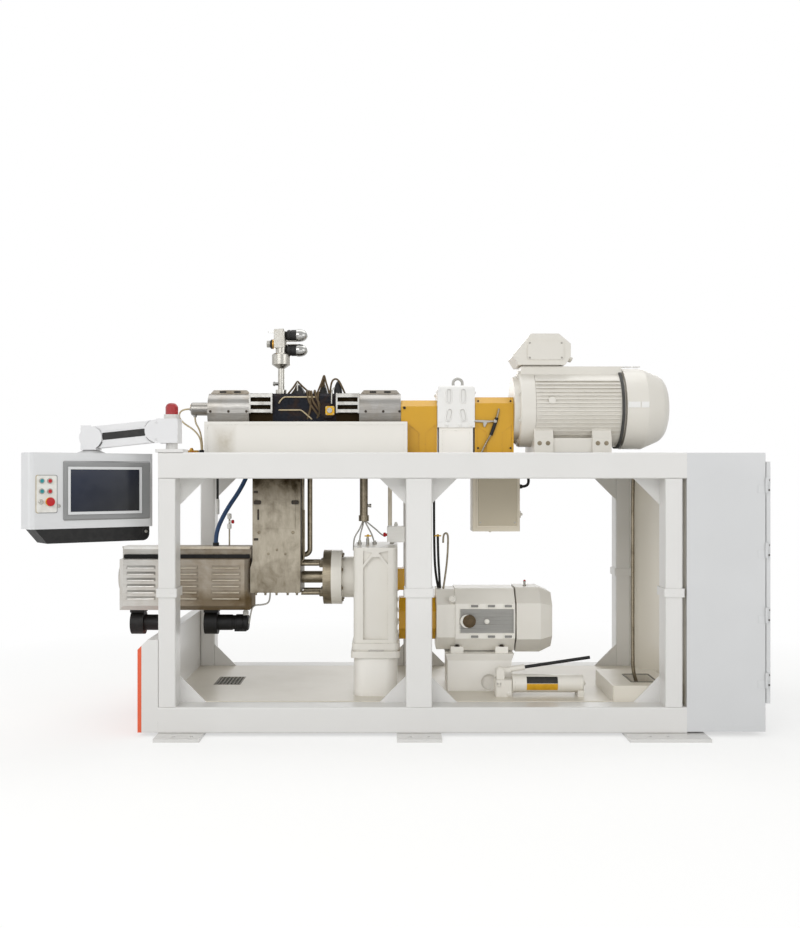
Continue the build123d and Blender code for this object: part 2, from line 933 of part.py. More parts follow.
switch_x = right_fins_x - switch_inset
with BuildPart() as mixer_chamber:
    with BuildSketch(across_x(chamber_x, line_y, mixer_axis_z)):
        with BuildLine():
            Polyline(
                (-fin_core_half, -mixer_half_height),
                (fin_core_half, -mixer_half_height),
                (fin_core_half, mixer_half_height - chamber_chamfer),
                (fin_core_half - chamber_chamfer, mixer_half_height),
                (-fin_core_half + chamber_chamfer, mixer_half_height),
                (-fin_core_half, mixer_half_height - chamber_chamfer),
                close=True,
            )
        make_face()
    extrude(amount=mixer_chamber_length)
    with BuildSketch(across_y(switch_x, line_y - fin_core_half, mixer_axis_z - switch_drop)):
        RegularPolygon(switch_radius, 8, rotation=22.5)
    extrude(amount=switch_depth)
save(mixer_chamber, "mixer_chamber")

bearing_end_x = mixer_left - rotor_bearing_length
bearing_bottom = mixer_axis_z - rotor_bearing_radius
with BuildPart() as rotor_end_bearing:
    with BuildSketch(across_x(mixer_left, line_y, mixer_axis_z)):
        Circle(rotor_bearing_radius)
    extrude(amount=-rotor_bearing_length)
    fillet(rotor_end_bearing.faces().sort_by(Axis.X)[0].edges(), rotor_bearing_round)
    with BuildSketch(across_x(mixer_left, line_y, mixer_axis_z)):
        Circle(rotor_bearing_flange)
    extrude(amount=-rotor_bearing_flange_thickness)
    with BuildSketch(across_x(bearing_end_x, line_y, mixer_axis_z)):
        Circle(bearing_gland_radius)
    extrude(amount=-bearing_gland_length)
    with BuildSketch(level(bearing_gland_x, line_y, bearing_bottom - bearing_gland_length)):
        Circle(bearing_gland_radius)
    extrude(amount=rotor_bearing_radius)
save(rotor_end_bearing, "rotor_end_bearing")

# Bent steel lines that rise from the chamber: a low braced one and two steep loops
line_routes = (
    (-794, -740, 45, -686),
    (-632, -604, 113, -576),
    (-552, -526, 89, -500),
)
line_low = cover_top - line_sink
with BuildPart() as chamber_lines:
    for left_foot, peak, height, right_foot in line_routes:
        for line_front in (line_y - line_y_offset, line_y + line_y_offset):
            with BuildLine():
                FilletPolyline(
                    (left_foot, line_front, line_low),
                    (peak, line_front, cover_top + height),
                    (right_foot, line_front, line_low),
                    radius=line_bend,
                )
            start = Vector(left_foot, line_front, line_low)
            rise = Vector(peak, line_front, cover_top + height) - start
            with BuildSketch(Plane(origin=start, z_dir=rise)):
                Circle(line_radius)
            sweep()
    with BuildSketch(level(line_routes[1][1], line_y, cover_top)):
        Rectangle(mixer_base_length, mixer_base_depth)
    extrude(amount=-2 * line_sink, mode=Mode.SUBTRACT)
    with BuildSketch(level(line_routes[0][1], line_y, cover_top)):
        Circle(line_radius)
    extrude(amount=probe_height)
save(chamber_lines, "chamber_lines")

# Feed valve on its stand pipe above the chamber
valve_profile = (
    (0, 0),
    (valve_foot_radius, 0),
    (valve_foot_radius, valve_foot_height),
    (valve_pipe_radius, valve_foot_height),
    (valve_pipe_radius, valve_pipe_length),
    (valve_collar_radius, valve_pipe_length + valve_collar_cone),
    (valve_collar_radius, valve_pipe_length + valve_collar_height - valve_collar_chamfer),
    (valve_collar_radius - valve_collar_chamfer, valve_pipe_length + valve_collar_height),
    (valve_body_radius, valve_pipe_length + valve_collar_height),
    (valve_body_radius, valve_pipe_length + valve_collar_height + valve_body_height),
    (valve_cap_radius, valve_pipe_length + valve_collar_height + valve_body_height),
    (
        valve_cap_radius,
        valve_pipe_length + valve_collar_height + valve_body_height + valve_cap_height,
    ),
    (0, valve_pipe_length + valve_collar_height + valve_body_height + valve_cap_height),
)
valve_collar_top = cover_top + valve_pipe_length + valve_collar_height
knob_x = valve_x + valve_body_radius + knob_gap
knob_z = valve_collar_top + knob_radius + knob_clearance
with BuildPart() as feed_valve:
    with BuildSketch(across_y(valve_x, line_y, cover_top)):
        with BuildLine():
            Polyline(*valve_profile, close=True)
        make_face()
    revolve(axis=Axis((valve_x, line_y, cover_top), (0, 0, 1)))
    for height in (knob_z, knob_z + knob_spacing):
        with BuildSketch(across_x(valve_x, line_y, height)):
            Circle(knob_stem_radius)
        extrude(amount=knob_x - valve_x)
    with BuildSketch(across_x(valve_x, line_y, valve_collar_top + valve_port_rise)):
        RegularPolygon(valve_port_radius, 6)
    extrude(amount=-valve_port_length)
save(feed_valve, "feed_valve")

with BuildPart() as feed_valve_knobs:
    for height in (knob_z, knob_z + knob_spacing):
        with BuildSketch(across_x(knob_x, line_y, height)):
            Circle(knob_radius)
            with PolarLocations(knob_radius, knob_flute_count):
                Circle(knob_flute_radius, mode=Mode.SUBTRACT)
        extrude(amount=knob_length)
        with BuildSketch(across_x(knob_x + knob_length, line_y, height)):
            Circle(knob_cap_radius)
        extrude(amount=knob_cap_length)
    fillet(feed_valve_knobs.faces().group_by(Axis.X)[-1].edges(), knob_cap_round)
save(feed_valve_knobs, "feed_valve_knobs")

# Yellow guards over the three couplings, with folded panels low on their sides
mixer_end = right_cover_x + mixer_cover_length
mixer_base_right = mixer_base_left + mixer_base_length
reducer_x = mixer_end + guard_gap + mixer_guard_length + guard_gap
motor_guard_x = reducer_x + reducer_length + guard_gap
gear_flange_x = lantern_flange_x + lantern_flange_thickness
gear_neck_x = gear_flange_x + gear_flange_thickness
gearbox_x = gear_neck_x + gear_neck_length
gearbox_lip_reach = gearbox_flange_overhang - gearbox_lip_set_back
lower_guard_x = gearbox_x + gearbox_length + gearbox_lip_reach
guard_runs = (
    (mixer_end + guard_gap, mixer_guard_length, mixer_guard_top),
    (motor_guard_x, motor_guard_length, motor_guard_top),
)
fold_places = (
    (mixer_base_right + guard_gap + fold_margin, 1),
    (mixer_end + guard_gap + mixer_guard_length - fold_margin, -1),
    (motor_guard_x + fold_margin, 1),
    (motor_guard_x + motor_guard_length - fold_margin, -1),
)
with BuildPart() as coupling_guards:
    for guard_x, guard_length, guard_top in guard_runs:
        with BuildSketch(across_x(guard_x, line_y, frame_height)):
            with BuildLine():
                Polyline(
                    (-guard_depth / 2, 0),
                    (-guard_depth / 2, guard_top - guard_chamfer),
                    (-guard_depth / 2 + guard_chamfer, guard_top),
                    (guard_depth / 2 - guard_chamfer, guard_top),
                    (guard_depth / 2, guard_top - guard_chamfer),
                    (guard_depth / 2, 0),
                    close=True,
                )
            make_face()
        extrude(amount=guard_length)
    with BuildSketch(level(mixer_base_x + guard_gap, line_y, frame_height)):
        Rectangle(mixer_base_length, mixer_base_depth)
    extrude(amount=mixer_base_height + guard_gap, mode=Mode.SUBTRACT)
    for fold_x, step in fold_places:
        for side in (-1, 1):
            with BuildSketch(
                across_y(fold_x, line_y + side * (guard_depth - fold_depth) / 2, frame_height)
            ):
                with BuildLine():
                    Polyline(
                        (0, fold_margin),
                        (step * fold_width, fold_margin),
                        (step * fold_width, fold_inner_height),
                        (0, fold_outer_height),
                        close=True,
                    )
                make_face()
            extrude(amount=fold_depth / 2, both=True, mode=Mode.SUBTRACT)
    with BuildSketch(across_x(lower_guard_x, line_y, drive_axis_z)):
        RegularPolygon(lower_guard_radius, 8, rotation=22.5)
    extrude(amount=lower_guard_length - gearbox_lip_reach - guard_gap)
save(coupling_guards, "coupling_guards")

# Gear reducer of the mixer: split housing with slots in its faces and a lifting eye
reducer_bottom = mixer_axis_z - reducer_below_axis
reducer_top = reducer_bottom + reducer_height
reducer_mid_x = reducer_x + reducer_length / 2
with BuildPart() as mixer_gearbox:
    with BuildSketch(level(reducer_mid_x, line_y, reducer_bottom)):
        Rectangle(reducer_length, reducer_depth)
    extrude(amount=reducer_height)
    fillet(mixer_gearbox.faces().sort_by(Axis.Z)[-1].edges(), reducer_round)
    for side in (-1, 1):
        with BuildSketch(
            across_y(
                reducer_mid_x,
                line_y + side * (reducer_depth - reducer_slot_depth) / 2,
                reducer_bottom,
            )
        ):
            for step in (-1, 1):
                with Locations((step * reducer_slot_spacing / 2, upper_slot_rise)):
                    SlotOverall(upper_slot_height, reducer_slot_width, rotation=90)
                with Locations((step * reducer_slot_spacing / 2, lower_slot_rise)):
                    SlotOverall(
                        lower_slot_height, reducer_slot_width, rotation=90 + step * lower_slot_tilt
                    )
        extrude(amount=reducer_slot_depth / 2, both=True, mode=Mode.SUBTRACT)
    with BuildSketch(level(reducer_mid_x, line_y, reducer_bottom)):
        Rectangle(reducer_length, reducer_depth + 2 * reducer_flange_overhang)
    extrude(amount=reducer_flange_height)
    with Locations(Location((reducer_mid_x + eye_offset, line_y, reducer_top + eye_rise), (90, 0, 0))):
        Torus(eye_radius, eye_wire_radius)
save(mixer_gearbox, "mixer_gearbox")

# Pedestals under the two reducers and the lower motor
gearbox_bottom = drive_axis_z - gearbox_below
gearbox_top = extruder_axis_z + gearbox_above
gearbox_mid_x = gearbox_x + gearbox_length / 2
gearbox_mid_y = line_y + (gearbox_back - gearbox_front) / 2
gearbox_depth = gearbox_front + gearbox_back
lower_motor_x = gearbox_x + gearbox_length + lower_guard_length
lower_foot_z = drive_axis_z - lower_motor_radius
lower_pedestal_mid_x = lower_motor_x + lower_pedestal_x + lower_pedestal_length / 2
reducer_seat_length = reducer_length - reducer_round
reducer_seat_depth = reducer_depth - reducer_round
reducer_seat_height = reducer_bottom - frame_height
with BuildPart() as drive_pedestals:
    with BuildSketch(level(reducer_mid_x, line_y, frame_height)):
        Rectangle(reducer_seat_length, reducer_seat_depth)
    extrude(amount=reducer_seat_height)
    for side in (-1, 1):
        with BuildSketch(
            across_y(
                reducer_mid_x,
                line_y + side * (reducer_seat_depth - welded_lip_depth) / 2,
                frame_height + (reducer_seat_height - welded_lip) / 2,
            )
        ):
            Rectangle(reducer_seat_length - 2 * welded_lip, reducer_seat_height - welded_lip)
        extrude(amount=welded_lip_depth / 2, both=True, mode=Mode.SUBTRACT)
    with BuildSketch(level(gearbox_mid_x, gearbox_mid_y, pan_top)):
        RectangleRounded(gearbox_length, gearbox_depth, pedestal_corner)
    extrude(amount=gearbox_bottom - gearbox_flange_height - pan_top)
    with BuildSketch(level(lower_pedestal_mid_x, line_y, pan_top)):
        Rectangle(lower_pedestal_length, 2 * pedestal_half)
    extrude(amount=lower_foot_z - pedestal_top_plate - pan_top)
    with BuildSketch(
        across_y(lower_motor_x + lower_pedestal_x + pedestal_hole_x, line_y - pedestal_half, pedestal_hole_z)
    ):
        Circle(pedestal_hole_radius)
    extrude(amount=-pedestal_hole_depth, mode=Mode.SUBTRACT)
    with BuildSketch(level(lower_pedestal_mid_x, line_y, lower_foot_z - pedestal_top_plate)):
        Rectangle(lower_pedestal_length, 2 * pedestal_half)
    with BuildSketch(level(lower_pedestal_mid_x, line_y, lower_foot_z)):
        Rectangle(
            lower_pedestal_length + 2 * pedestal_top_overhang,
            2 * pedestal_half + 2 * pedestal_top_overhang,
        )
    loft()
save(drive_pedestals, "drive_pedestals")

# Main motor on the deck: end shield, finned housing with a smooth top, saddle feet and skirt
motor_x = motor_guard_x + motor_guard_length + guard_gap
motor_body_x = motor_x + motor_bell_length
motor_body_end = motor_body_x + motor_body_length
motor_mid_x = motor_body_x + motor_body_length / 2
motor_cowl_x = motor_body_end + motor_gap
motor_fins_x = motor_body_x + motor_shield_length
motor_pad_top = mixer_axis_z + motor_pad_height
with BuildPart() as main_motor:
    with BuildSketch(across_x(motor_body_x, line_y, mixer_axis_z)):
        Circle(motor_shield_radius)
    extrude(amount=motor_shield_length)
    fillet(main_motor.faces().sort_by(Axis.X)[0].edges(), motor_shield_round)
    with BuildSketch(across_x(motor_x, line_y, mixer_axis_z)):
        Circle(motor_bell_radius)
    extrude(amount=motor_bell_length)
    with BuildSketch(across_x(motor_fins_x, line_y, mixer_axis_z)):
        with GridLocations(0, motor_fin_pitch, 1, motor_fin_count):
            Rectangle(2 * motor_radius, motor_fin_thickness)
        Circle(motor_radius, mode=Mode.INTERSECT)
        Circle(motor_core_radius)
    extrude(amount=motor_body_end - motor_end_ring_length - motor_fins_x)
    with BuildSketch(across_x(motor_body_end - motor_end_ring_length, line_y, mixer_axis_z)):
        Circle(motor_shield_radius)
    extrude(amount=motor_end_ring_length)
    with BuildSketch(across_x(motor_body_end, line_y, mixer_axis_z)):
        Circle(motor_core_radius)
    extrude(amount=motor_gap)
    with BuildSketch(
        across_x(motor_body_x + motor_shield_round, line_y, mixer_axis_z + motor_pad_height / 2)
    ):
        Rectangle(2 * motor_pad_half, motor_pad_height)
    extrude(amount=motor_body_length - motor_shield_round)
    for foot_x in (motor_mid_x - motor_foot_spacing / 2, motor_mid_x + motor_foot_spacing / 2):
        with BuildSketch(across_x(foot_x - motor_foot_length / 2, line_y, frame_height)):
            with BuildLine():
                Polyline(
                    (-motor_foot_half, 0),
                    (-motor_foot_half, motor_foot_height),
                    (-motor_saddle_half, motor_saddle_height),
                    (motor_saddle_half, motor_saddle_height),
                    (motor_foot_half, motor_foot_height),
                    (motor_foot_half, 0),
                    close=True,
                )
            make_face()
        extrude(amount=motor_foot_length)
    with BuildSketch(level(motor_mid_x, line_y, frame_height + motor_skirt_bottom)):
        Rectangle(motor_foot_spacing - motor_foot_length, 2 * motor_skirt_half)
    extrude(amount=motor_skirt_top - motor_skirt_bottom)
    with BuildSketch(
        across_y(motor_body_x + motor_boss_x, line_y - motor_core_radius / 2, mixer_axis_z + motor_boss_rise)
    ):
        Circle(motor_boss_radius)
    extrude(amount=motor_radius - motor_core_radius / 2)
save(main_motor, "main_motor")

terminal_x = motor_mid_x - motor_foot_spacing / 2
terminal_bottom = motor_pad_top + terminal_rise
terminal_top = terminal_bottom + terminal_height
terminal_left = terminal_x - terminal_length / 2
terminal_right = terminal_x + terminal_length / 2
with BuildPart() as terminal_box:
    with BuildSketch(across_y(0, line_y, 0)):
        with BuildLine():
            Polyline(
                (terminal_left + terminal_lower_cut[0], terminal_bottom),
                (terminal_left, terminal_bottom + terminal_lower_cut[1]),
                (terminal_left, terminal_top - terminal_left_cut[1]),
                (terminal_left + terminal_left_cut[0], terminal_top),
                (terminal_right - terminal_right_cut[0], terminal_top),
                (terminal_right, terminal_top - terminal_right_cut[1]),
                (terminal_right, terminal_bottom + terminal_lower_cut[1]),
                (terminal_right - terminal_lower_cut[0], terminal_bottom),
                close=True,
            )
        make_face()
    extrude(amount=terminal_depth / 2, both=True)
    fillet(terminal_box.edges().filter_by(Axis.Y), terminal_round)
    with BuildSketch(level(terminal_x, line_y, motor_pad_top)):
        Rectangle(terminal_neck_length, terminal_neck_depth)
    extrude(amount=2 * terminal_rise)
    for side in (-1, 1):
        with BuildSketch(
            across_y(
                terminal_x + lid_offset_x,
                line_y + side * (terminal_depth + lid_thickness) / 2,
                terminal_bottom + terminal_height / 2 - lid_offset_z / 2,
            )
        ):
            RectangleRounded(lid_length, lid_height, lid_corner)
        extrude(amount=lid_thickness / 2, both=True)
save(terminal_box, "terminal_box")

# Fan cowls of both motors, with an air grille in each end
lower_cowl_x = lower_motor_x + lower_motor_body_length + motor_gap
lower_cowl_end = lower_cowl_x + lower_motor_cowl_length
cowl_profile = (
    (0, 0),
    (0, motor_cowl_radius),
    (motor_cowl_straight, motor_cowl_radius),
    (motor_cowl_shoulder_along, motor_cowl_shoulder_radius),
)
grille_places = (
    (motor_cowl_x + motor_cowl_length, mixer_axis_z, motor_cowl_end_radius - grille_edge),
    (lower_cowl_end, drive_axis_z, lower_motor_radius - lower_cowl_taper - 2 * grille_edge),
)
with BuildPart() as motor_cowls:
    with BuildSketch(across_y(motor_cowl_x, line_y, mixer_axis_z)):
        with BuildLine():
            Polyline(*cowl_profile)
            ThreePointArc(
                (motor_cowl_shoulder_along, motor_cowl_shoulder_radius),
                (motor_cowl_round_along, motor_cowl_round_radius),
                (motor_cowl_length, motor_cowl_end_radius),
            )
            Polyline((motor_cowl_length, motor_cowl_end_radius), (motor_cowl_length, 0), (0, 0))
        make_face()
    revolve(axis=Axis((motor_cowl_x, line_y, mixer_axis_z), (1, 0, 0)))
    with BuildSketch(across_x(lower_cowl_x, line_y, drive_axis_z)):
        Rectangle(2 * lower_motor_radius, 2 * lower_motor_radius)
        chamfer(vertices(), lower_cowl_chamfer)
    extrude(amount=lower_cowl_straight)
    with BuildSketch(across_x(lower_cowl_x + lower_cowl_straight, line_y, drive_axis_z)):
        Rectangle(2 * lower_motor_radius, 2 * lower_motor_radius)
        chamfer(vertices(), lower_cowl_chamfer)
    with BuildSketch(across_x(lower_cowl_end, line_y, drive_axis_z)):
        Rectangle(
            2 * (lower_motor_radius - lower_cowl_taper), 2 * (lower_motor_radius - lower_cowl_taper)
        )
        chamfer(vertices(), lower_cowl_chamfer - lower_cowl_taper / 2)
    loft()
    for grille_x, grille_z, grille_radius in grille_places:
        with BuildSketch(across_x(grille_x, line_y, grille_z)):
            Circle(grille_radius)
            Circle((grille_radius + grille_hub + grille_ring) / 2, mode=Mode.SUBTRACT)
            Circle((grille_radius + grille_hub - grille_ring) / 2)
            Circle(grille_hub, mode=Mode.SUBTRACT)
            with PolarLocations(0, grille_spoke_count // 2):
                Rectangle(2 * grille_radius, grille_spoke, mode=Mode.SUBTRACT)
        extrude(amount=-grille_depth, mode=Mode.SUBTRACT)
save(motor_cowls, "motor_cowls")

# Extruder motor: eight-sided housing with a finned recess at each side
recess_length = lower_motor_body_length - side_recess_start - side_recess_end
recess_x = lower_motor_x + side_recess_start + recess_length / 2
with BuildPart() as extruder_motor:
    with BuildSketch(across_x(lower_motor_x, line_y, drive_axis_z)):
        Rectangle(
            2 * (lower_motor_half - lower_bell_step), 2 * (lower_motor_half - lower_bell_step)
        )
        chamfer(vertices(), lower_motor_chamfer)
    extrude(amount=lower_bell_length)
    fillet(extruder_motor.faces().sort_by(Axis.X)[0].edges(), lower_bell_round)
    with BuildSketch(across_x(lower_motor_x + lower_bell_length, line_y, drive_axis_z)):
        Rectangle(2 * lower_motor_half, 2 * lower_motor_half)
        chamfer(vertices(), lower_motor_chamfer)
    extrude(amount=lower_motor_body_length - lower_bell_length)
    with BuildSketch(across_x(lower_cowl_x - motor_gap, line_y, drive_axis_z)):
        Circle(lower_neck_radius)
    extrude(amount=motor_gap)
    for side in (-1, 1):
        side_face = line_y + side * lower_motor_half
        with BuildSketch(
            across_y(recess_x, side_face - side * side_recess_depth / 2, drive_axis_z)
        ):
            Rectangle(recess_length, 2 * side_recess_half)
            with GridLocations(0, side_fin_pitch, 1, side_fin_count):
                Rectangle(recess_length, side_fin_thickness, mode=Mode.SUBTRACT)
        extrude(amount=side_recess_depth / 2, both=True, mode=Mode.SUBTRACT)
        with BuildSketch(
            across_y(lower_motor_x + side_boss_x, side_face - side * side_recess_depth, drive_axis_z)
        ):
            Circle(side_boss_radius)
        extrude(amount=side_recess_depth + boss_depth, both=True)
        with BuildSketch(across_y(lower_motor_x + boss_centre_x, side_face, drive_axis_z)):
            with GridLocations(boss_pitch, 2 * boss_row_height, boss_count, 2):
                Rectangle(boss_length, boss_height)
        extrude(amount=boss_depth, both=True)
    with BuildSketch(level(lower_pedestal_mid_x, line_y, lower_foot_z)):
        with GridLocations(lower_foot_spacing, 0, 2, 1):
            Rectangle(lower_foot_length, 2 * lower_foot_half)
    extrude(amount=lower_foot_height)
save(extruder_motor, "extruder_motor")

# Discharge chute with its clean-out door, and the feed section of the extruder under it
chute_mid_x = chute_left + chute_length / 2
chute_right = chute_left + chute_length
feed_left = chute_left - feed_overhang
with BuildPart() as discharge_chute:
    with BuildSketch(level(chute_mid_x, line_y, chute_bottom)):
        Rectangle(chute_length, chute_depth)
    extrude(amount=deck_bottom - chute_bottom)
    with BuildSketch(level(chute_mid_x, line_y, deck_bottom)):
        Rectangle(
            chute_length + 2 * chute_flange_overhang, chute_depth + 2 * chute_flange_overhang
        )
    extrude(amount=-chute_flange)
    with BuildSketch(across_y(0, line_y, chute_bottom)):
        with BuildLine():
            Polyline(
                (feed_left, 0),
                (feed_left, feed_height - feed_chamfer),
                (chute_left, feed_height),
                (chute_left, 0),
                close=True,
            )
        make_face()
    extrude(amount=chute_depth / 2, both=True)
    for side in (-1, 1):
        door_face = line_y + side * chute_depth / 2
        with BuildSketch(across_y(chute_mid_x, door_face, chute_door_top - chute_door_height / 2)):
            Rectangle(chute_door_length, chute_door_height)
        extrude(amount=chute_door_thickness, both=True)
        with BuildSketch(across_y(chute_mid_x, door_face, latch_z)):
            with GridLocations(chute_door_length, 0, 2, 1):
                Rectangle(latch_length, latch_width)
        extrude(amount=latch_thickness, both=True)
save(discharge_chute, "discharge_chute")

with BuildPart() as extruder_barrel:
    with BuildSketch(across_x(barrel_end_x, line_y, extruder_axis_z)):
        Circle(barrel_radius)
    extrude(amount=feed_left - barrel_end_x)
save(extruder_barrel, "extruder_barrel")

# Sheet shroud around the heated barrel, with rows of pressed louvres at both sides
shroud_z = shroud_bottom + shroud_height / 2
louvre_starts = [
    shroud_left + louvre_first + n * louvre_group_pitch - louvre_length / 2
    for n in range(louvre_groups)
]
louvre_heights = [louvre_top_z - n * louvre_pitch for n in range(louvre_rows)]
with BuildPart() as shroud_space:
    with BuildSketch(across_x(shroud_left + shroud_sheet, line_y, shroud_z)):
        Rectangle(2 * (shroud_half - shroud_sheet), shroud_height - 2 * shroud_sheet)
        chamfer(vertices().group_by(Axis.Y)[0], shroud_chamfer)
    extrude(amount=shroud_right - shroud_left - 2 * shroud_sheet)
    chamfer(shroud_space.edges().filter_by(Axis.Z), shroud_chamfer)

with BuildPart() as barrel_shroud:
    with BuildSketch(across_x(shroud_left, line_y, shroud_z)):
        Rectangle(2 * shroud_half, shroud_height)
        chamfer(vertices().group_by(Axis.Y)[0], shroud_chamfer)
    extrude(amount=shroud_right - shroud_left)
    chamfer(barrel_shroud.edges().filter_by(Axis.Z), shroud_chamfer)
    for louvre_x in louvre_starts:
        with BuildSketch(across_x(louvre_x, line_y, 0)):
            for side in (-1, 1):
                for height in louvre_heights:
                    with BuildLine():
                        Polyline(
                            (side * shroud_half, height + louvre_rise),
                            (side * (shroud_half + louvre_out), height),
                            (side * shroud_half, height),
                            close=True,
                        )
                    make_face()
        extrude(amount=louvre_length)
    add(shroud_space.part, mode=Mode.SUBTRACT)
    for louvre_x in louvre_starts:
        with BuildSketch(across_x(louvre_x + louvre_sheet, line_y, 0)):
            for side in (-1, 1):
                for height in louvre_heights:
                    with BuildLine():
                        Polyline(
                            (side * (shroud_half - 2 * shroud_sheet), height),
                            (
                                side * (shroud_half - 2 * shroud_sheet),
                                height + louvre_rise - 2 * louvre_sheet,
                            ),
                            (side * shroud_half, height + louvre_rise - 2 * louvre_sheet),
                            (side * (shroud_half + louvre_out - louvre_sheet), height),
                            close=True,
                        )
                    make_face()
        extrude(amount=louvre_length - 2 * louvre_sheet, mode=Mode.SUBTRACT)
    with BuildSketch(across_x(shroud_left, line_y, extruder_axis_z)):
        Circle(barrel_radius + shroud_play)
    extrude(amount=shroud_right - shroud_left, mode=Mode.SUBTRACT)
save(barrel_shroud, "barrel_shroud")

shroud_top = shroud_bottom + shroud_height
duct_top = shroud_top + duct_height
with BuildPart() as shroud_duct:
    with BuildSketch(across_x(shroud_left, line_y, 0)):
        with Locations((0, shroud_top + duct_height / 2)):
            Rectangle(2 * duct_half, duct_height)
        with Locations((0, duct_top - duct_lip_height / 2)):
            Rectangle(2 * (duct_half + duct_lip), duct_lip_height)
    extrude(amount=shroud_right - shroud_left)
save(shroud_duct, "shroud_duct")

# Cooling blowers under the shroud: neck, scroll and motor
scroll_z = shroud_bottom - blower_neck_height - blower_scroll_radius + blower_scroll_sink
with BuildPart() as barrel_blowers:
    for blower_x in (shroud_left + left_blower_inset, shroud_right - right_blower_inset):
        with BuildSketch(level(blower_x, line_y, shroud_bottom)):
            Rectangle(blower_neck, blower_neck)
        extrude(amount=-blower_neck_height)
        with BuildSketch(across_x(blower_x - blower_scroll_length / 2, line_y, scroll_z)):
            Circle(blower_scroll_radius)
        extrude(amount=blower_scroll_length)
        with BuildSketch(across_x(blower_x + blower_scroll_length / 2, line_y, scroll_z)):
            Circle(blower_motor_radius)
        extrude(amount=blower_motor_length)
        motor_end = blower_x + blower_scroll_length / 2 + blower_motor_length
        fillet(
            barrel_blowers.edges().filter_by_position(Axis.X, motor_end - 1, motor_end + 1),
            blower_round,
        )
save(barrel_blowers, "barrel_blowers")

# Lantern: dark flange on rods around the screw shaft
with BuildPart() as lantern:
    with BuildSketch(across_x(chute_right, line_y, extruder_axis_z)):
        Circle(screw_shaft_radius)
        with PolarLocations(lantern_rod_circle, 4, start_angle=45):
            Circle(lantern_rod_radius)
    extrude(amount=lantern_flange_x - chute_right)
    with BuildSketch(across_x(lantern_flange_x, line_y, extruder_axis_z)):
        Circle(lantern_radius)
    extrude(amount=lantern_flange_thickness)
save(lantern, "lantern")

# Extruder gearbox: round flange, cast housing with recessed faces, and a foot in two lips
gearbox_foot_bottom = gearbox_bottom - gearbox_flange_height
gearbox_lips = (
    (gearbox_foot_bottom, gearbox_flange_height, gearbox_flange_overhang - 2 * gearbox_lip_set_back),
    (
        gearbox_foot_bottom,
        gearbox_flange_height - gearbox_lip_height - gearbox_lip_gap,
        gearbox_flange_overhang,
    ),
    (
        gearbox_bottom - gearbox_lip_height,
        gearbox_lip_height,
        gearbox_lip_reach,
    ),
)
with BuildPart() as extruder_gearbox:
    with BuildSketch(level(gearbox_mid_x, gearbox_mid_y, gearbox_bottom)):
        RectangleRounded(gearbox_length, gearbox_depth, gearbox_corner)
    extrude(amount=gearbox_top - gearbox_bottom)
    for side, face_y in (
        (-1, gearbox_mid_y - gearbox_depth / 2),
        (1, gearbox_mid_y + gearbox_depth / 2),
    ):
        with BuildSketch(
            across_y(gearbox_mid_x, face_y - side * panel_recess_depth / 2, gearbox_top)
        ):
            with BuildLine():
                Polyline(
                    (-panel_recess_half, gearbox_bottom - gearbox_top + panel_recess_bottom),
                    (panel_recess_half, gearbox_bottom - gearbox_top + panel_recess_bottom),
                    (panel_recess_half, -panel_recess_shoulder),
                    (panel_recess_peak_half, -panel_recess_peak),
                    (-panel_recess_peak_half, -panel_recess_peak),
                    (-panel_recess_half, -panel_recess_shoulder),
                    close=True,
                )
            make_face()
        extrude(amount=panel_recess_depth / 2, both=True, mode=Mode.SUBTRACT)
        with BuildSketch(across_y(gearbox_mid_x, face_y - side * facet_depth / 2, gearbox_top)):
            for step in (-1, 1):
                with BuildLine():
                    Polyline(
                        (step * panel_recess_half, -facet_top),
                        (step * panel_recess_half, -facet_low),
                        (step * facet_tip_half, -facet_tip_drop),
                        close=True,
                    )
                make_face()
        extrude(amount=facet_depth / 2, both=True, mode=Mode.SUBTRACT)
    for lip_bottom, lip_height, overhang in gearbox_lips:
        with BuildSketch(level(gearbox_mid_x, gearbox_mid_y, lip_bottom)):
            RectangleRounded(
                gearbox_length + 2 * overhang, gearbox_depth + 2 * overhang, gearbox_corner
            )
        extrude(amount=lip_height)
    with BuildSketch(across_x(gear_flange_x, line_y, extruder_axis_z)):
        Circle(lantern_radius)
    extrude(amount=gear_flange_thickness)
    with BuildSketch(across_x(gear_neck_x, line_y, extruder_axis_z)):
        Circle(gear_neck_radius)
    extrude(amount=gear_neck_length + gearbox_corner)
save(extruder_gearbox, "extruder_gearbox")

# Junction box and a small sensor box, both hung from the deck
junction_mid_z = deck_bottom - junction_height / 2
sensor_y = line_y - sensor_depth / 2
with BuildPart() as junction_box:
    with BuildSketch(level(junction_x + junction_length / 2, line_y, deck_bottom)):
        RectangleRounded(junction_length, junction_depth, junction_round)
    extrude(amount=-junction_height)
    with BuildSketch(
        across_y(junction_x + junction_length / 2, line_y - junction_depth / 2, junction_mid_z)
    ):
        RectangleRounded(
            junction_length - 2 * junction_border,
            junction_height - 2 * junction_border,
            junction_round,
        )
    extrude(amount=junction_door_thickness)
    with BuildSketch(level(sensor_x + sensor_length / 2, sensor_y, sensor_bottom)):
        RectangleRounded(sensor_length, sensor_depth, junction_round)
    extrude(amount=sensor_height)
    with BuildSketch(level(sensor_x + conduit_inset, sensor_y, sensor_bottom + sensor_height)):
        Circle(conduit_radius)
    extrude(amount=deck_bottom - sensor_bottom - sensor_height)
save(junction_box, "junction_box")

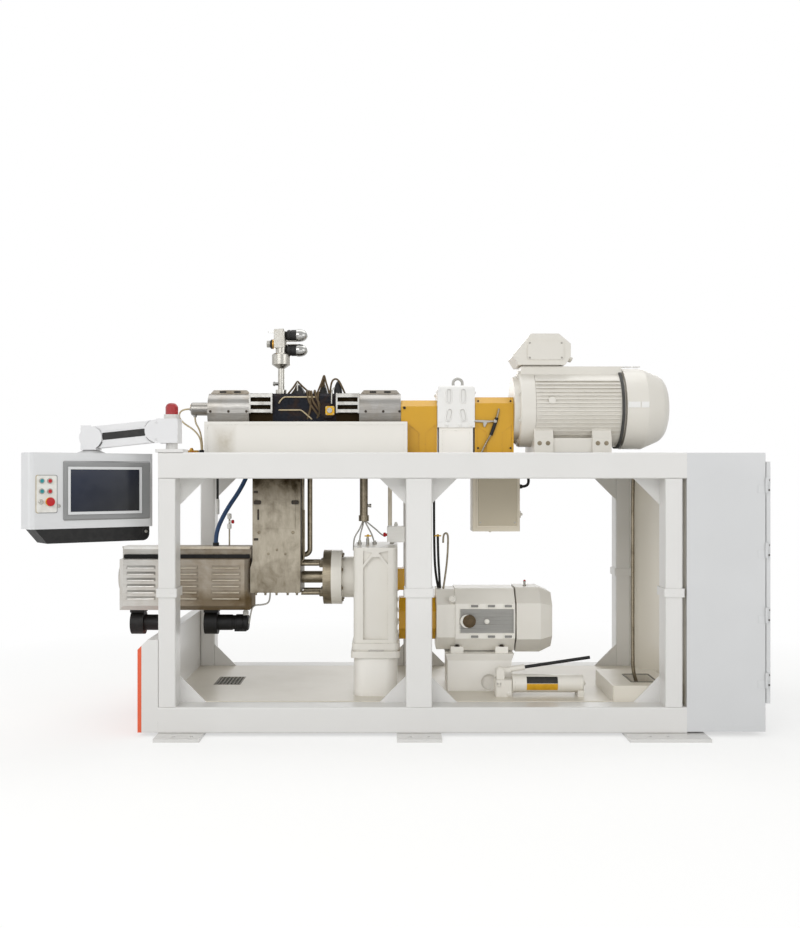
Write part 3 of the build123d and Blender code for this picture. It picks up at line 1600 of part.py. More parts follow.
# Rigid pipes under the deck: one to the chute, one with its fitting over the gearbox
feed_pipe_x = chute_right + feed_pipe_gap
with BuildPart() as deck_pipes:
    with BuildLine():
        FilletPolyline(
            (feed_pipe_x, line_y, deck_bottom),
            (feed_pipe_x, line_y, feed_pipe_end),
            (chute_right, line_y, feed_pipe_end),
            radius=feed_pipe_bend,
        )
    with BuildSketch(level(feed_pipe_x, line_y, deck_bottom)):
        Circle(feed_pipe_radius)
    sweep()
    with BuildSketch(level(oil_pipe_x, line_y, oil_pipe_end)):
        Circle(oil_pipe_radius)
    extrude(amount=deck_bottom - oil_pipe_end)
    with BuildSketch(level(oil_pipe_x, line_y, oil_pipe_end)):
        Circle(oil_fitting_radius)
    extrude(amount=-oil_fitting_height)
save(deck_pipes, "deck_pipes")

# Glands that the cables and the hose end in
gland_rows = (deck_gland_y, deck_gland_y + deck_gland_spacing)
with BuildPart() as cable_glands:
    for gland_y in gland_rows:
        with BuildSketch(level(deck_gland_x, gland_y, frame_height)):
            RegularPolygon(deck_gland_radius, 6)
        extrude(amount=deck_gland_height)
    with BuildSketch(level(hose_deck_x, line_y, deck_bottom)):
        Circle(hose_fitting_radius)
    extrude(amount=-hose_fitting_height)
    with BuildSketch(level(hose_duct_x, line_y, duct_top)):
        Circle(hose_fitting_radius)
    extrude(amount=hose_fitting_height)
save(cable_glands, "cable_glands")


def cord_piece(points, diameter, node):
    """Flexible cord: straight runs joined by tangent arcs as wide as the runs allow."""
    radii = []
    for before, corner, after in zip(points, points[1:], points[2:]):
        first = Vector(*corner) - Vector(*before)
        second = Vector(*after) - Vector(*corner)
        half_turn = math.radians(first.get_angle(second)) / 2
        radii.append(0.45 * min(first.length, second.length) / math.tan(half_turn))
    with BuildPart() as cord:
        with BuildLine() as route:
            FilletPolyline(*points, radius=radii)
        with BuildSketch(Plane(origin=route.line @ 0, z_dir=route.line % 0)):
            Circle(diameter / 2)
        sweep()
    save(cord, node)
    length = sum(edge.length for edge in route.line.edges())
    share = cord.part.volume / (math.pi * diameter**2 / 4 * length)
    print(node, "length", round(length), "radii", [round(radius) for radius in radii])
    print(node, "volume over section times length", round(share, 4))


deck_gland_top = frame_height + deck_gland_height
cord_piece(
    (
        (bearing_gland_x, line_y, bearing_bottom - bearing_gland_length),
        (bearing_gland_x, line_y, 1858),
        (-1404, -92, 1816),
        (-1392, -86, 1764),
        (deck_gland_x, gland_rows[1], 1711),
        (deck_gland_x, gland_rows[1], deck_gland_top),
    ),
    cable_diameter,
    "bearing_cable_short",
)
cord_piece(
    (
        (bearing_end_x - bearing_gland_length, line_y, mixer_axis_z),
        (-1516, line_y, mixer_axis_z),
        (-1538, -104, 1896),
        (-1500, -108, 1850),
        (-1440, -112, 1815),
        (-1396, -118, 1765),
        (deck_gland_x, gland_rows[0], 1711),
        (deck_gland_x, gland_rows[0], deck_gland_top),
    ),
    cable_diameter,
    "bearing_cable_long",
)
cord_piece(
    (
        (hose_deck_x, line_y, deck_bottom - hose_fitting_height),
        (hose_deck_x, line_y, 1540),
        (-1140, line_y, 1425),
        (-1220, line_y, 1310),
        (-1278, line_y, 1200),
        (hose_duct_x, line_y, 1126),
        (hose_duct_x, line_y, duct_top + hose_fitting_height),
    ),
    hose_diameter,
    "blue_hose",
)

# Hand pump: reservoir tube, head block with two ears, and the lever between them
pump_axis_z = pan_top + pump_foot_height + pump_tube_radius
pump_head_top = pan_top + pump_head_height
pump_pivot_x = pump_x + pump_pivot_inset
pump_pivot_z = pump_head_top
pump_tube_end = pump_x + pump_head_length + pump_tube_length
with BuildPart() as hand_pump:
    with BuildSketch(across_x(pump_x + pump_head_length, pump_y, pump_axis_z)):
        Circle(pump_tube_radius)
    extrude(amount=pump_tube_length)
    fillet(hand_pump.faces().sort_by(Axis.X)[-1].edges(), pump_end_round)
    for collar_x in (
        pump_x + pump_head_length,
        pump_tube_end - pump_end_round - pump_collar_length,
    ):
        with BuildSketch(across_x(collar_x, pump_y, pump_axis_z)):
            Circle(pump_tube_radius + pump_collar_overhang)
        extrude(amount=pump_collar_length)
    with BuildSketch(level(pump_x + pump_head_length / 2, pump_y, pan_top)):
        RectangleRounded(pump_head_length, pump_head_width, pump_head_corner)
    extrude(amount=pump_head_height - 2 * ear_half)
    for side in (-1, 1):
        with BuildSketch(
            across_y(pump_pivot_x, pump_y + side * (ear_half + ear_thickness / 2), pump_pivot_z)
        ):
            Circle(ear_half)
            with Locations((0, -ear_half)):
                Rectangle(2 * ear_half, 2 * ear_half)
        extrude(amount=ear_thickness / 2, both=True)
    with BuildSketch(across_y(pump_pivot_x, pump_y, pump_pivot_z)):
        Circle(pump_pin_radius)
    extrude(amount=ear_half + ear_thickness, both=True)
    with BuildSketch(level(pump_tube_end - pump_foot_length / 2, pump_y, pan_top)):
        Rectangle(pump_foot_length, pump_head_width)
    extrude(amount=2 * pump_foot_height)
save(hand_pump, "hand_pump")

lever_plane = Plane(
    origin=(pump_pivot_x, pump_y, pump_pivot_z),
    x_dir=(math.cos(math.radians(lever_angle)), 0, math.sin(math.radians(lever_angle))),
    z_dir=(0, -1, 0),
)


def across_lever(reach):
    """Plane square to the lever, the given distance from its pin."""
    return Plane(
        origin=lever_plane.from_local_coords(Vector(reach, 0, 0)),
        x_dir=(0, 1, 0),
        z_dir=lever_plane.x_dir,
    )


with BuildPart() as lever_socket:
    with BuildSketch(lever_plane):
        Circle(lever_half)
        with Locations((lever_shank / 2, 0)):
            Rectangle(lever_shank, 2 * lever_half)
    extrude(amount=lever_half, both=True)
    with BuildSketch(lever_plane):
        Circle(pump_pin_radius + arm_pin_play)
    extrude(amount=lever_half, both=True, mode=Mode.SUBTRACT)
    with BuildSketch(across_lever(lever_shank)):
        Circle(socket_radius)
    extrude(amount=socket_length - lever_shank)
    with BuildSketch(across_lever(socket_length)):
        Circle(lever_radius + lever_play)
    extrude(amount=-socket_depth, mode=Mode.SUBTRACT)
save(lever_socket, "lever_socket")

with BuildPart() as hand_pump_lever:
    with BuildSketch(across_lever(socket_length - socket_depth)):
        Circle(lever_radius)
    extrude(amount=lever_length - socket_length + socket_depth)
save(hand_pump_lever, "hand_pump_lever")

# Panel arm: foot on the corner of the deck
arm_neck_top = frame_height + arm_plate_thickness + arm_neck_height
with BuildPart() as arm_mount:
    with BuildSketch(level(arm_axis_x, arm_axis_y, frame_height)):
        RectangleRounded(arm_plate, arm_plate, tube_corner)
    extrude(amount=arm_plate_thickness)
    with BuildSketch(level(arm_axis_x, arm_axis_y, frame_height + arm_plate_thickness)):
        Circle(arm_neck_radius)
    extrude(amount=arm_neck_height)
save(arm_mount, "arm_mount")

# Swivel block with the fork that holds the arm
block_bottom = arm_neck_top + swivel_play
arm_pivot_x = arm_axis_x - arm_pivot_offset
arm_pivot_z = block_bottom + arm_block_height / 2
cheek_y = (arm_block_width - arm_cheek) / 2


def fork_cheek(plane, reach):
    """Cheek of a fork: round towards the arm, square towards its block."""
    with BuildSketch(plane) as section:
        Circle(arm_cheek_radius)
        Rectangle(2 * arm_cheek_radius, arm_block_height, mode=Mode.INTERSECT)
        with Locations((reach / 2, 0)):
            Rectangle(abs(reach), arm_block_height)
    return section.sketch


with BuildPart() as arm_base:
    web_x = arm_pivot_x + arm_tongue_radius + arm_seam
    block_end = arm_axis_x + arm_block_back
    with BuildSketch(level((web_x + block_end) / 2, arm_axis_y, block_bottom)):
        Rectangle(block_end - web_x, arm_block_width)
    extrude(amount=arm_block_height)
    for side in (-1, 1):
        extrude(
            fork_cheek(
                across_y(arm_pivot_x, arm_axis_y + side * cheek_y, arm_pivot_z),
                web_x - arm_pivot_x + arm_seam,
            ),
            amount=arm_cheek / 2,
            both=True,
        )
    with BuildSketch(across_y(arm_pivot_x, arm_axis_y, arm_pivot_z)):
        Circle(arm_pin_radius)
    extrude(amount=cheek_y, both=True)
save(arm_base, "arm_base")

block_top = block_bottom + arm_block_height
with BuildPart() as beacon:
    with BuildSketch(level(arm_axis_x, arm_axis_y, block_top)):
        Circle(beacon_base_radius)
    extrude(amount=beacon_base_height)
    with BuildSketch(level(arm_axis_x, arm_axis_y, block_top + beacon_base_height)):
        Circle(beacon_radius)
    extrude(amount=beacon_dome_height)
    fillet(beacon.faces().sort_by(Axis.Z)[-1].edges(), beacon_dome_round)
save(beacon, "beacon")

# Arm between the two forks
droop = math.radians(arm_droop)
arm_plane = Plane(
    origin=(arm_pivot_x, arm_axis_y, arm_pivot_z),
    x_dir=(math.cos(droop), 0, math.sin(droop)),
    z_dir=(0, -1, 0),
)
head_pivot_x = arm_pivot_x - arm_length * math.cos(droop)
head_pivot_z = arm_pivot_z - arm_length * math.sin(droop)
with BuildPart() as support_arm:
    with BuildSketch(arm_plane):
        with Locations((-arm_length / 2, 0)):
            Rectangle(arm_length, arm_height)
        with Locations((0, 0), (-arm_length, 0)):
            Circle(arm_cheek_radius + arm_seam, mode=Mode.SUBTRACT)
        with Locations((-arm_length / 2, 0)):
            SlotCenterToCenter(arm_length, 2 * arm_tongue_radius)
        with Locations((0, 0), (-arm_length, 0)):
            Circle(arm_pin_radius + arm_pin_play, mode=Mode.SUBTRACT)
    extrude(amount=arm_width / 2, both=True)
    with BuildSketch(arm_plane.offset(arm_width / 2)):
        with Locations((-arm_length / 2, inlay_rise)):
            RectangleRounded(inlay_length, inlay_height, inlay_corner)
    extrude(amount=-inlay_depth, mode=Mode.SUBTRACT)
save(support_arm, "support_arm")

# Head fork that keeps the panel level
head_axis_x = head_pivot_x - head_axis_offset
head_bottom = head_pivot_z - arm_block_height / 2
with BuildPart() as arm_head:
    head_left = head_axis_x - head_back
    with BuildSketch(level(head_left + head_web / 2, arm_axis_y, head_bottom)):
        Rectangle(head_web, arm_block_width)
    extrude(amount=arm_block_height)
    for side in (-1, 1):
        extrude(
            fork_cheek(
                across_y(head_pivot_x, arm_axis_y + side * cheek_y, head_pivot_z),
                head_left - head_pivot_x,
            ),
            amount=arm_cheek / 2,
            both=True,
        )
    with BuildSketch(across_y(head_pivot_x, arm_axis_y, head_pivot_z)):
        Circle(arm_pin_radius)
    extrude(amount=cheek_y, both=True)
    with BuildSketch(level(head_axis_x, arm_axis_y, head_bottom)):
        Rectangle(2 * head_back, arm_block_width)
    extrude(amount=arm_block_height / 2 - arm_tongue_radius - arm_seam)
save(arm_head, "arm_head")

# Operator panel, turned towards the front, under the head
turn = math.radians(panel_turn)
panel_top = head_bottom - swivel_play - panel_flange_height
panel_x_dir = Vector(math.cos(turn), math.sin(turn), 0)
panel_normal = Vector(math.sin(turn), -math.cos(turn), 0)
head_point = Vector(head_axis_x, arm_axis_y, panel_top - panel_height / 2)
panel_origin = head_point - panel_x_dir * panel_axis_u + panel_normal * (panel_depth / 2)
panel_front = Plane(origin=panel_origin, x_dir=panel_x_dir, z_dir=panel_normal)
panel_plan = Plane(
    origin=panel_origin - Vector(0, 0, panel_height / 2), x_dir=panel_x_dir, z_dir=(0, 0, 1)
)
with BuildPart() as panel_housing:
    with BuildSketch(panel_plan):
        with Locations((0, panel_depth / 2)):
            RectangleRounded(panel_width, panel_depth, panel_corner)
    extrude(amount=panel_height)
    with BuildSketch(across_y(head_axis_x, arm_axis_y, panel_top)):
        with BuildLine():
            Polyline(
                (0, 0),
                (panel_flange_radius, 0),
                (panel_hub_radius, panel_flange_height),
                (0, panel_flange_height),
                close=True,
            )
        make_face()
    revolve(axis=Axis((head_axis_x, arm_axis_y, panel_top), (0, 0, 1)))
save(panel_housing, "panel_housing")

with BuildPart() as panel_bezel:
    with BuildSketch(panel_front):
        with Locations((bezel_u, 0)):
            RectangleRounded(bezel_width, bezel_height, tube_corner)
    extrude(amount=bezel_thickness)
    bezel_face = panel_bezel.faces().sort_by(Axis((0, 0, 0), tuple(panel_normal)))[-1]
    chamfer(bezel_face.edges(), bezel_bevel)
    with BuildSketch(panel_front.offset(bezel_thickness)):
        with Locations((screen_u, 0)):
            Rectangle(screen_width + 2 * bezel_ring, screen_height + 2 * bezel_ring)
    extrude(amount=-bezel_step, mode=Mode.SUBTRACT)
    with BuildSketch(panel_front):
        with Locations((screen_u, 0)):
            Rectangle(screen_width, screen_height)
    extrude(amount=bezel_thickness, mode=Mode.SUBTRACT)
    with BuildSketch(panel_front):
        with Locations((button_plate_u, button_plate_v)):
            RectangleRounded(button_plate_width, button_plate_height, tube_corner)
    extrude(amount=button_plate_thickness)
save(panel_bezel, "panel_bezel")

with BuildPart() as panel_screen:
    with BuildSketch(panel_front):
        with Locations((screen_u, 0)):
            Rectangle(screen_width - 2 * fitting_gap, screen_height - 2 * fitting_gap)
    extrude(amount=screen_thickness)
save(panel_screen, "panel_screen")

with BuildPart() as panel_tray:
    with BuildSketch(panel_front):
        with BuildLine():
            Polyline(
                (-panel_width / 2 + panel_corner, -panel_height / 2),
                (panel_width / 2 - panel_corner, -panel_height / 2),
                (panel_width / 2 - panel_corner, -panel_height / 2 - tray_height),
                (-panel_width / 2 + panel_corner + tray_bevel, -panel_height / 2 - tray_height),
                close=True,
            )
        make_face()
        fillet(vertices().group_by(Axis.Y)[0].sort_by(Axis.X)[-1], tray_round)
    extrude(amount=-panel_depth)
save(panel_tray, "panel_tray")

button_face = panel_front.offset(button_plate_thickness)
with BuildPart() as panel_buttons:
    with BuildSketch(button_face):
        for row_v in button_row_v:
            with Locations((button_plate_u, row_v)):
                with GridLocations(button_spacing_u, 0, 2, 1):
                    Circle(button_radius)
    extrude(amount=button_height)
    with BuildSketch(button_face):
        with Locations((button_plate_u + button_spacing_u / 2, stop_v)):
            Circle(stop_radius)
    extrude(amount=stop_height)
save(panel_buttons, "panel_buttons")
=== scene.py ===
import math

import bmesh
import bpy
from mathutils import Matrix, Vector


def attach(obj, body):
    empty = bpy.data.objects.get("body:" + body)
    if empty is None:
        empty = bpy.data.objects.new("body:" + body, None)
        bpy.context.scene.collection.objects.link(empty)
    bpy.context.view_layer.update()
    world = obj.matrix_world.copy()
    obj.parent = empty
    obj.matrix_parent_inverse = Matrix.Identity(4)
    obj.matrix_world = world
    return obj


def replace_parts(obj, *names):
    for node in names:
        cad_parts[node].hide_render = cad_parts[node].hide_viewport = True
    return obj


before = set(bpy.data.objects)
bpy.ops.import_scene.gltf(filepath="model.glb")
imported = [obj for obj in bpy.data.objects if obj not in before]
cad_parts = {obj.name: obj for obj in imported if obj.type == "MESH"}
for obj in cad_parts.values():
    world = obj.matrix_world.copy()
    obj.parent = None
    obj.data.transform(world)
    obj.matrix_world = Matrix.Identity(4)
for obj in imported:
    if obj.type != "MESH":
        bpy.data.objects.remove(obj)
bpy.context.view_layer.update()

# Lengths are in millimetres, as in the part's source, and turn to metres at MM.
MM = 0.001

# Line of both drives, in plan, and the heights of their axes
LINE_Y = -100.0
MIXER_Z = 1944.0
EXTRUDER_Z = 867.0
DRIVE_Z = 608.0
DECK_TOP = 1651.0
DECK_UNDER = 1638.3
PAN_TOP = 171.4
CHAMBER_TOP = 2034

# Feed valve: its side port, and the heights of its two knobs
VALVE_PORT = (-934, -100, 2361)
VALVE_KNOBS = (2417, 2321)

# Terminal box: its glands point out and down. Hand pump: its axis. Trough: its middle.
GLAND_WAY = (0.9, 0, -0.35)
PUMP_Y, PUMP_Z = -418, 245.4
TROUGH = (1363.5, -373.6)

# Shroud's louvres, top row down, and the cabinet's hinges, lowest up
LOUVRE_TOP, LOUVRE_PITCH = 938, 38.6
FIRST_HINGE_Z, HINGE_PITCH = 328, 377.7

FRONT = (0, -1, 0)
BACK = (0, 1, 0)
UP = (0, 0, 1)
DOWN = (0, 0, -1)
LEFT = (-1, 0, 0)
RIGHT = (1, 0, 0)

# Operator panel: the middle of its face, and the directions along and out of it
PANEL_MIDDLE = Vector((-1894.5, -763.5, 1429.9))
PANEL_ALONG = Vector((0.7986, 0.6018, 0))
PANEL_OUT = Vector((0.6018, -0.7986, 0))

# Places on the panel's face, as distances along it and up from its middle
BUTTON_RISES = (56, -2.5)
STOP, KEY = (-260, -62), (-310, -62)
BUTTON_FIELD, TRAY_KNOB = (-278, -18), (318, -246)
BUTTON_TOP = [(0, 6), (11, 6), (11, 11), (9.5, 12), (0, 11.4)]


# Camera: level, at the photograph's station in front of the frame. Its distance
# to the frame's front face and the scale there give the lens.
STATION = (-165, -6972, 1508)
FRONT_FACE_DISTANCE = 6210
MM_PER_PIXEL = 5.806
PHOTO_HEIGHT = 928
SENSOR = 36

lens = bpy.data.cameras.new("station")
lens.sensor_width = SENSOR
lens.lens = FRONT_FACE_DISTANCE / MM_PER_PIXEL * SENSOR / PHOTO_HEIGHT
# The view's level axis meets the photograph a few pixels off its middle
lens.shift_x = 8 / PHOTO_HEIGHT
lens.shift_y = 13 / PHOTO_HEIGHT
lens.clip_end = 100
camera = bpy.data.objects.new("station", lens)
camera.location = [v * MM for v in STATION]
camera.rotation_euler = (math.radians(90), 0, 0)
bpy.context.scene.collection.objects.link(camera)
bpy.context.scene.camera = camera


# Finishes

def linear(code):
    """Turns an sRGB hex colour to the linear one that the shaders take."""
    parts = [int(code[i:i + 2], 16) / 255 for i in (1, 3, 5)]
    return (*[c / 12.92 if c <= 0.04045 else ((c + 0.055) / 1.055) ** 2.4 for c in parts], 1.0)


def feed(tree, node, sockets):
    """Gives a node's sockets a value each, or a link from a socket or from the output
    that another node has in use."""
    for key, value in sockets.items():
        if isinstance(value, bpy.types.Node):
            value = next(output for output in value.outputs if output.enabled)
        if isinstance(value, bpy.types.NodeSocket):
            tree.links.new(value, node.inputs[key])
        else:
            node.inputs[key].default_value = value


def add(tree, kind, sockets=None, **settings):
    """Adds a node with its settings, and feeds its sockets."""
    made = tree.nodes.new("ShaderNode" + kind)
    for key, value in settings.items():
        setattr(made, key, value)
    feed(tree, made, sockets or {})
    return made


def per_metre(size):
    """The texture scale at which a pattern's features are this many millimetres apart."""
    return 1000 / size


def blank(name):
    """A finish with its shader still to be filled, and the place on the surface in metres."""
    finish = bpy.data.materials.new(name)
    finish.use_nodes = True
    tree = finish.node_tree
    tree.nodes.clear()
    place = add(tree, "TexCoord").outputs["Object"]
    shader = add(tree, "BsdfPrincipled")
    add(tree, "OutputMaterial", {"Surface": shader})
    return finish, tree, place, shader


def inside(tree, place, low, high, soft=0.02):
    """A mask that is 1 inside a box given by two corners in millimetres, with a soft edge."""
    low, high = Vector(low) * MM, Vector(high) * MM
    shifted = add(tree, "VectorMath", {0: place, 1: (low + high) / 2}, operation="SUBTRACT")
    size = add(tree, "VectorMath", {0: shifted}, operation="ABSOLUTE")
    share = add(tree, "VectorMath", {0: size, 1: (high - low) / 2}, operation="DIVIDE")
    axes = add(tree, "SeparateXYZ", {0: share})
    most = add(tree, "Math", {0: axes.outputs[0], 1: axes.outputs[1]}, operation="MAXIMUM")
    most = add(tree, "Math", {0: most, 1: axes.outputs[2]}, operation="MAXIMUM")
    return add(tree, "MapRange", {"Value": most, "From Min": 1 + soft, "From Max": 1 - soft})


def grime(tree, place, reach=60, patch=90, amount=0.5):
    """Dirt that gathers in corners and lies on what faces up, broken into patches."""
    corner = add(tree, "AmbientOcclusion", {"Distance": reach * MM}, samples=4)
    hidden = add(tree, "MapRange", {
        "Value": corner.outputs["AO"], "From Min": 0.75, "From Max": 0.25, "To Max": 0.8,
    })
    normal = add(tree, "NewGeometry").outputs["Normal"]
    upward = add(tree, "SeparateXYZ", {0: normal}).outputs[2]
    lying = add(tree, "MapRange", {
        "Value": upward, "From Min": 0.55, "From Max": 1.0, "To Max": 0.4,
    })
    both = add(tree, "Math", {0: hidden, 1: lying}, operation="MAXIMUM")
    clouds = add(tree, "TexNoise", {
        "Vector": place, "Scale": per_metre(patch), "Detail": 6.0, "Roughness": 0.6,
    })
    broken = add(tree, "MapRange", {
        "Value": clouds, "From Min": 0.3, "From Max": 0.75, "To Max": amount,
    })
    return add(tree, "Math", {0: both, 1: broken}, operation="MULTIPLY")


def worn_edges(tree, place, width=3, patch=25):
    """The edges that hands and tools have rubbed, in short broken lengths."""
    rounded = add(tree, "Bevel", {"Radius": width * MM}, samples=4)
    flat = add(tree, "NewGeometry").outputs["Normal"]
    turn_away = add(tree, "VectorMath", {0: rounded, 1: flat}, operation="DOT_PRODUCT")
    edge = add(tree, "MapRange", {
        "Value": turn_away.outputs["Value"], "From Min": 0.97, "From Max": 0.85,
    })
    chips = add(tree, "TexNoise", {"Vector": place, "Scale": per_metre(patch), "Detail": 4.0})
    broken = add(tree, "MapRange", {"Value": chips, "From Min": 0.54, "From Max": 0.62})
    return add(tree, "Math", {0: edge, 1: broken}, operation="MULTIPLY")


def enamel(name, colour, shade, dirt="#8F8368", roughness=0.34, soiling=0.45, chip="#77726A",
           worn=0.5, smear=None, other_finishes_and_painted_light=(), patch_size=90):
    """Sprayed gloss enamel on steel. A second coat drifts in tone, the film has orange
    peel, dirt gathers in corners and the edges are chipped to the primer."""
    finish, tree, place, shader = blank(name)
    # Tone drifts over about 350 mm, as the spray gun's passes overlap
    drift = add(tree, "TexNoise", {"Vector": place, "Scale": per_metre(350), "Detail": 3.0})
    tone = add(tree, "Mix", {0: drift, 6: linear(colour), 7: linear(shade)}, data_type="RGBA")
    # Places left bare or coated otherwise, in faint brushed lines along X; on the cabinet the same
    # kind of box paints a lighter, warmer end, painted light
    for low, high, first, second in other_finishes_and_painted_light:
        brushed = add(tree, "Mapping", {"Vector": place, "Scale": (2, 60, 60)})
        lines = add(tree, "TexNoise", {"Vector": brushed, "Scale": 6.0})
        other = add(tree, "Mix", {0: lines, 6: linear(first), 7: linear(second)}, data_type="RGBA")
        tone = add(tree, "Mix", {0: inside(tree, place, low, high), 6: tone, 7: other},
                   data_type="RGBA")
    # A brown smear that wiping has spread
    if smear:
        low, high = smear
        wiped = add(tree, "TexNoise", {
            "Vector": place, "Scale": per_metre(60), "Detail": 5.0, "Roughness": 0.7,
        })
        soft = add(tree, "Math", {
            0: inside(tree, place, low, high, soft=0.9), 1: wiped}, operation="MULTIPLY")
        tone = add(tree, "Mix", {0: soft, 6: tone, 7: linear("#A09375")}, data_type="RGBA")
    dirty = grime(tree, place, patch=patch_size, amount=soiling)
    rubbed = add(tree, "Math", {0: worn_edges(tree, place), 1: worn}, operation="MULTIPLY")
    for mask, under in ((dirty, dirt), (rubbed, chip)):
        tone = add(tree, "Mix", {0: mask, 6: tone, 7: linear(under)}, data_type="RGBA")
    dulled = add(tree, "MapRange", {"Value": dirty, "To Min": roughness, "To Max": 0.8})
    # Orange peel is about 2 mm across; drawn at 5 mm so that it shows
    peel = add(tree, "TexNoise", {"Vector": place, "Scale": per_metre(5)})
    bump = add(tree, "Bump", {"Height": peel, "Strength": 0.12, "Distance": 0.0006})
    feed(tree, shader, {"Base Color": tone, "Roughness": dulled, "Normal": bump,
                        "Coat Weight": 0.25, "Coat Roughness": 0.15})
    return finish


def bare_metal(name, bright, dark, roughness=0.35, grain=(1, 1, 1), grain_size=8, stain="#6E5C3C",
               staining=0.5, depth=0.0004, stain_size=110, scorch_and_shade=()):
    """Unpainted metal: its grain runs along the direction in which the pattern is
    stretched, and heat and oil leave brown patches on it. Boxes given besides are
    darkened towards the stain colour: heat tint on the shroud and its lips, painted
    shade on the covers' top strip and the fin blocks' grooves, painted shadow at the
    chute's top, and plain darker bands low on the fin blocks and the chute."""
    finish, tree, place, shader = blank(name)
    run = add(tree, "Mapping", {"Vector": place, "Scale": grain})
    lines = add(tree, "TexNoise", {
        "Vector": run, "Scale": per_metre(grain_size), "Detail": 5.0, "Roughness": 0.65,
    })
    clouds = add(tree, "TexNoise", {
        "Vector": place, "Scale": per_metre(stain_size), "Detail": 6.0, "Roughness": 0.62,
        "Distortion": 0.4,
    })
    tone = add(tree, "Mix", {0: lines, 6: linear(bright), 7: linear(dark)}, data_type="RGBA")
    patch = add(tree, "MapRange", {
        "Value": clouds, "From Min": 0.45, "From Max": 0.75, "To Max": staining,
    })
    corner = grime(tree, place, reach=40, patch=50, amount=min(1.0, staining + 0.35))
    soil_and_shade = add(tree, "Math", {0: patch, 1: corner}, operation="MAXIMUM")
    # Each box darkens towards the stain colour: heat tint on the shroud and its lips, painted shade
    # and shadow on the covers, fin blocks and chute
    for low, high, share, soft in scorch_and_shade:
        tint_and_shade = add(tree, "Math", {0: inside(tree, place, low, high, soft), 1: share},
                    operation="MULTIPLY")
        soil_and_shade = add(tree, "Math", {0: soil_and_shade, 1: tint_and_shade}, operation="ADD", use_clamp=True)
    tone = add(tree, "Mix", {0: soil_and_shade, 6: tone, 7: linear(stain)}, data_type="RGBA")
    dull = add(tree, "MapRange", {
        "Value": lines, "To Min": roughness * 0.75, "To Max": min(1.0, roughness * 1.3),
    })
    duller = add(tree, "Math", {0: dull, 1: soil_and_shade}, operation="MAXIMUM")
    bump = add(tree, "Bump", {"Height": lines, "Strength": 0.35, "Distance": depth})
    feed(tree, shader, {"Base Color": tone, "Roughness": duller, "Normal": bump,
                        "Metallic": 1.0})
    return finish


def moulded(name, colour, worn, roughness=0.45, texture=3, depth=0.0003):
    """Moulded plastic or rubber: an even colour that handling has polished and paled
    in places, over a fine spark texture."""
    finish, tree, place, shader = blank(name)
    handled = add(tree, "TexNoise", {"Vector": place, "Scale": per_metre(30), "Detail": 5.0})
    share = add(tree, "MapRange", {"Value": handled, "From Min": 0.4, "From Max": 0.75})
    tone = add(tree, "Mix", {0: share, 6: linear(colour), 7: linear(worn)}, data_type="RGBA")
    tone = add(tree, "Mix", {
        0: grime(tree, place, reach=20, patch=20, amount=0.22), 6: tone, 7: linear("#5E5648")},
        data_type="RGBA")
    dull = add(tree, "MapRange", {
        "Value": handled, "To Min": roughness + 0.12, "To Max": roughness - 0.1,
    })
    spark = add(tree, "TexNoise", {"Vector": place, "Scale": per_metre(texture)})
    bump = add(tree, "Bump", {"Height": spark, "Strength": 0.3, "Distance": depth})
    feed(tree, shader, {"Base Color": tone, "Roughness": dull, "Normal": bump,
                        "Specular IOR Level": 0.35})
    return finish


# A grain stretched along the drives' line, and the box in millimetres that the hot end
# of the shroud fills
ALONG = (0.1, 1, 1)
HOT_END = (-1560, -320, 600), (-1000, 120, 1100)

# Two-pack gloss enamel, sprayed: the frame is warm white and catches soft highlights
frame_enamel = enamel(
    "frame_gloss_enamel", "#E3E2E0", "#DDDCD9", soiling=0.22, patch_size=260, worn=0.35)
# The same enamel lies flat in the pan, where spilt oil and dust have dried on it
pan_enamel = enamel("pan_soiled_enamel", "#E2DDD1", "#D5CEBF", soiling=0.4, patch_size=420)
# Mixer base: same white, with a brown hand-wiped smear near its left end
base_enamel = enamel(
    "mixer_base_enamel", "#EAE8E2", "#E4E1DA", soiling=0.3,
    smear=((-1245, -400, 1655), (-1160, -330, 1780)))
# Upper gearbox: white over a casting, its lifting eye left bare
upper_casting_enamel = enamel(
    "upper_casting_enamel", "#F0F0EE", "#E9E8E5", roughness=0.38, soiling=0.45,
    other_finishes_and_painted_light=(((200, -150, 2085), (310, -50, 2150), "#8F8E8A", "#C4C2BC"),))
# Pedestals inside the frame: painted the brightest white, painted light that lifts them out of the
# shade they stand in
pedestal_lightened_enamel = enamel("pedestal_lightened_enamel", "#F8F6F1", "#F1EEE7", soiling=0.35, patch_size=260)
# Cast gearboxes and pumps are painted over rough castings, a little creamier
casting_enamel = enamel("casting_enamel", "#EBE8E1", "#E1DDD3", roughness=0.38, soiling=0.45)
# Junction box under the deck: beige powder coat; the sensor box beside it is white. The door's coat
# is the same beige painted darker and browner: painted shadow of the deck
junction_coat = enamel(
    "junction_box_beige_coat", "#DED5C2", "#D3C9B4", roughness=0.45, soiling=0.4,
    other_finishes_and_painted_light=(((-200, -195, 1090), (-80, -85, 1200), "#F1F0EC", "#E8E6E0"),))
junction_door_shadowed_coat = enamel(
    "junction_door_beige_shadowed_coat", "#BFB59F", "#B3A88F", roughness=0.45, soiling=0.3)
# Motor maker's enamel: greyer beige, thinner on the fins
motor_enamel = enamel("motor_beige_enamel", "#E5E2DB", "#DBD7CD", roughness=0.4, soiling=0.25)
# Lower motor: the same enamel, but its side recess is left as bare brushed alloy
lower_motor_enamel = enamel(
    "lower_motor_enamel", "#F4F1EA", "#EBE8DF", roughness=0.4, soiling=0.35,
    other_finishes_and_painted_light=(((262, -299.5, 533), (597, -270, 683), "#8F8E8B", "#B0AFAA"),))
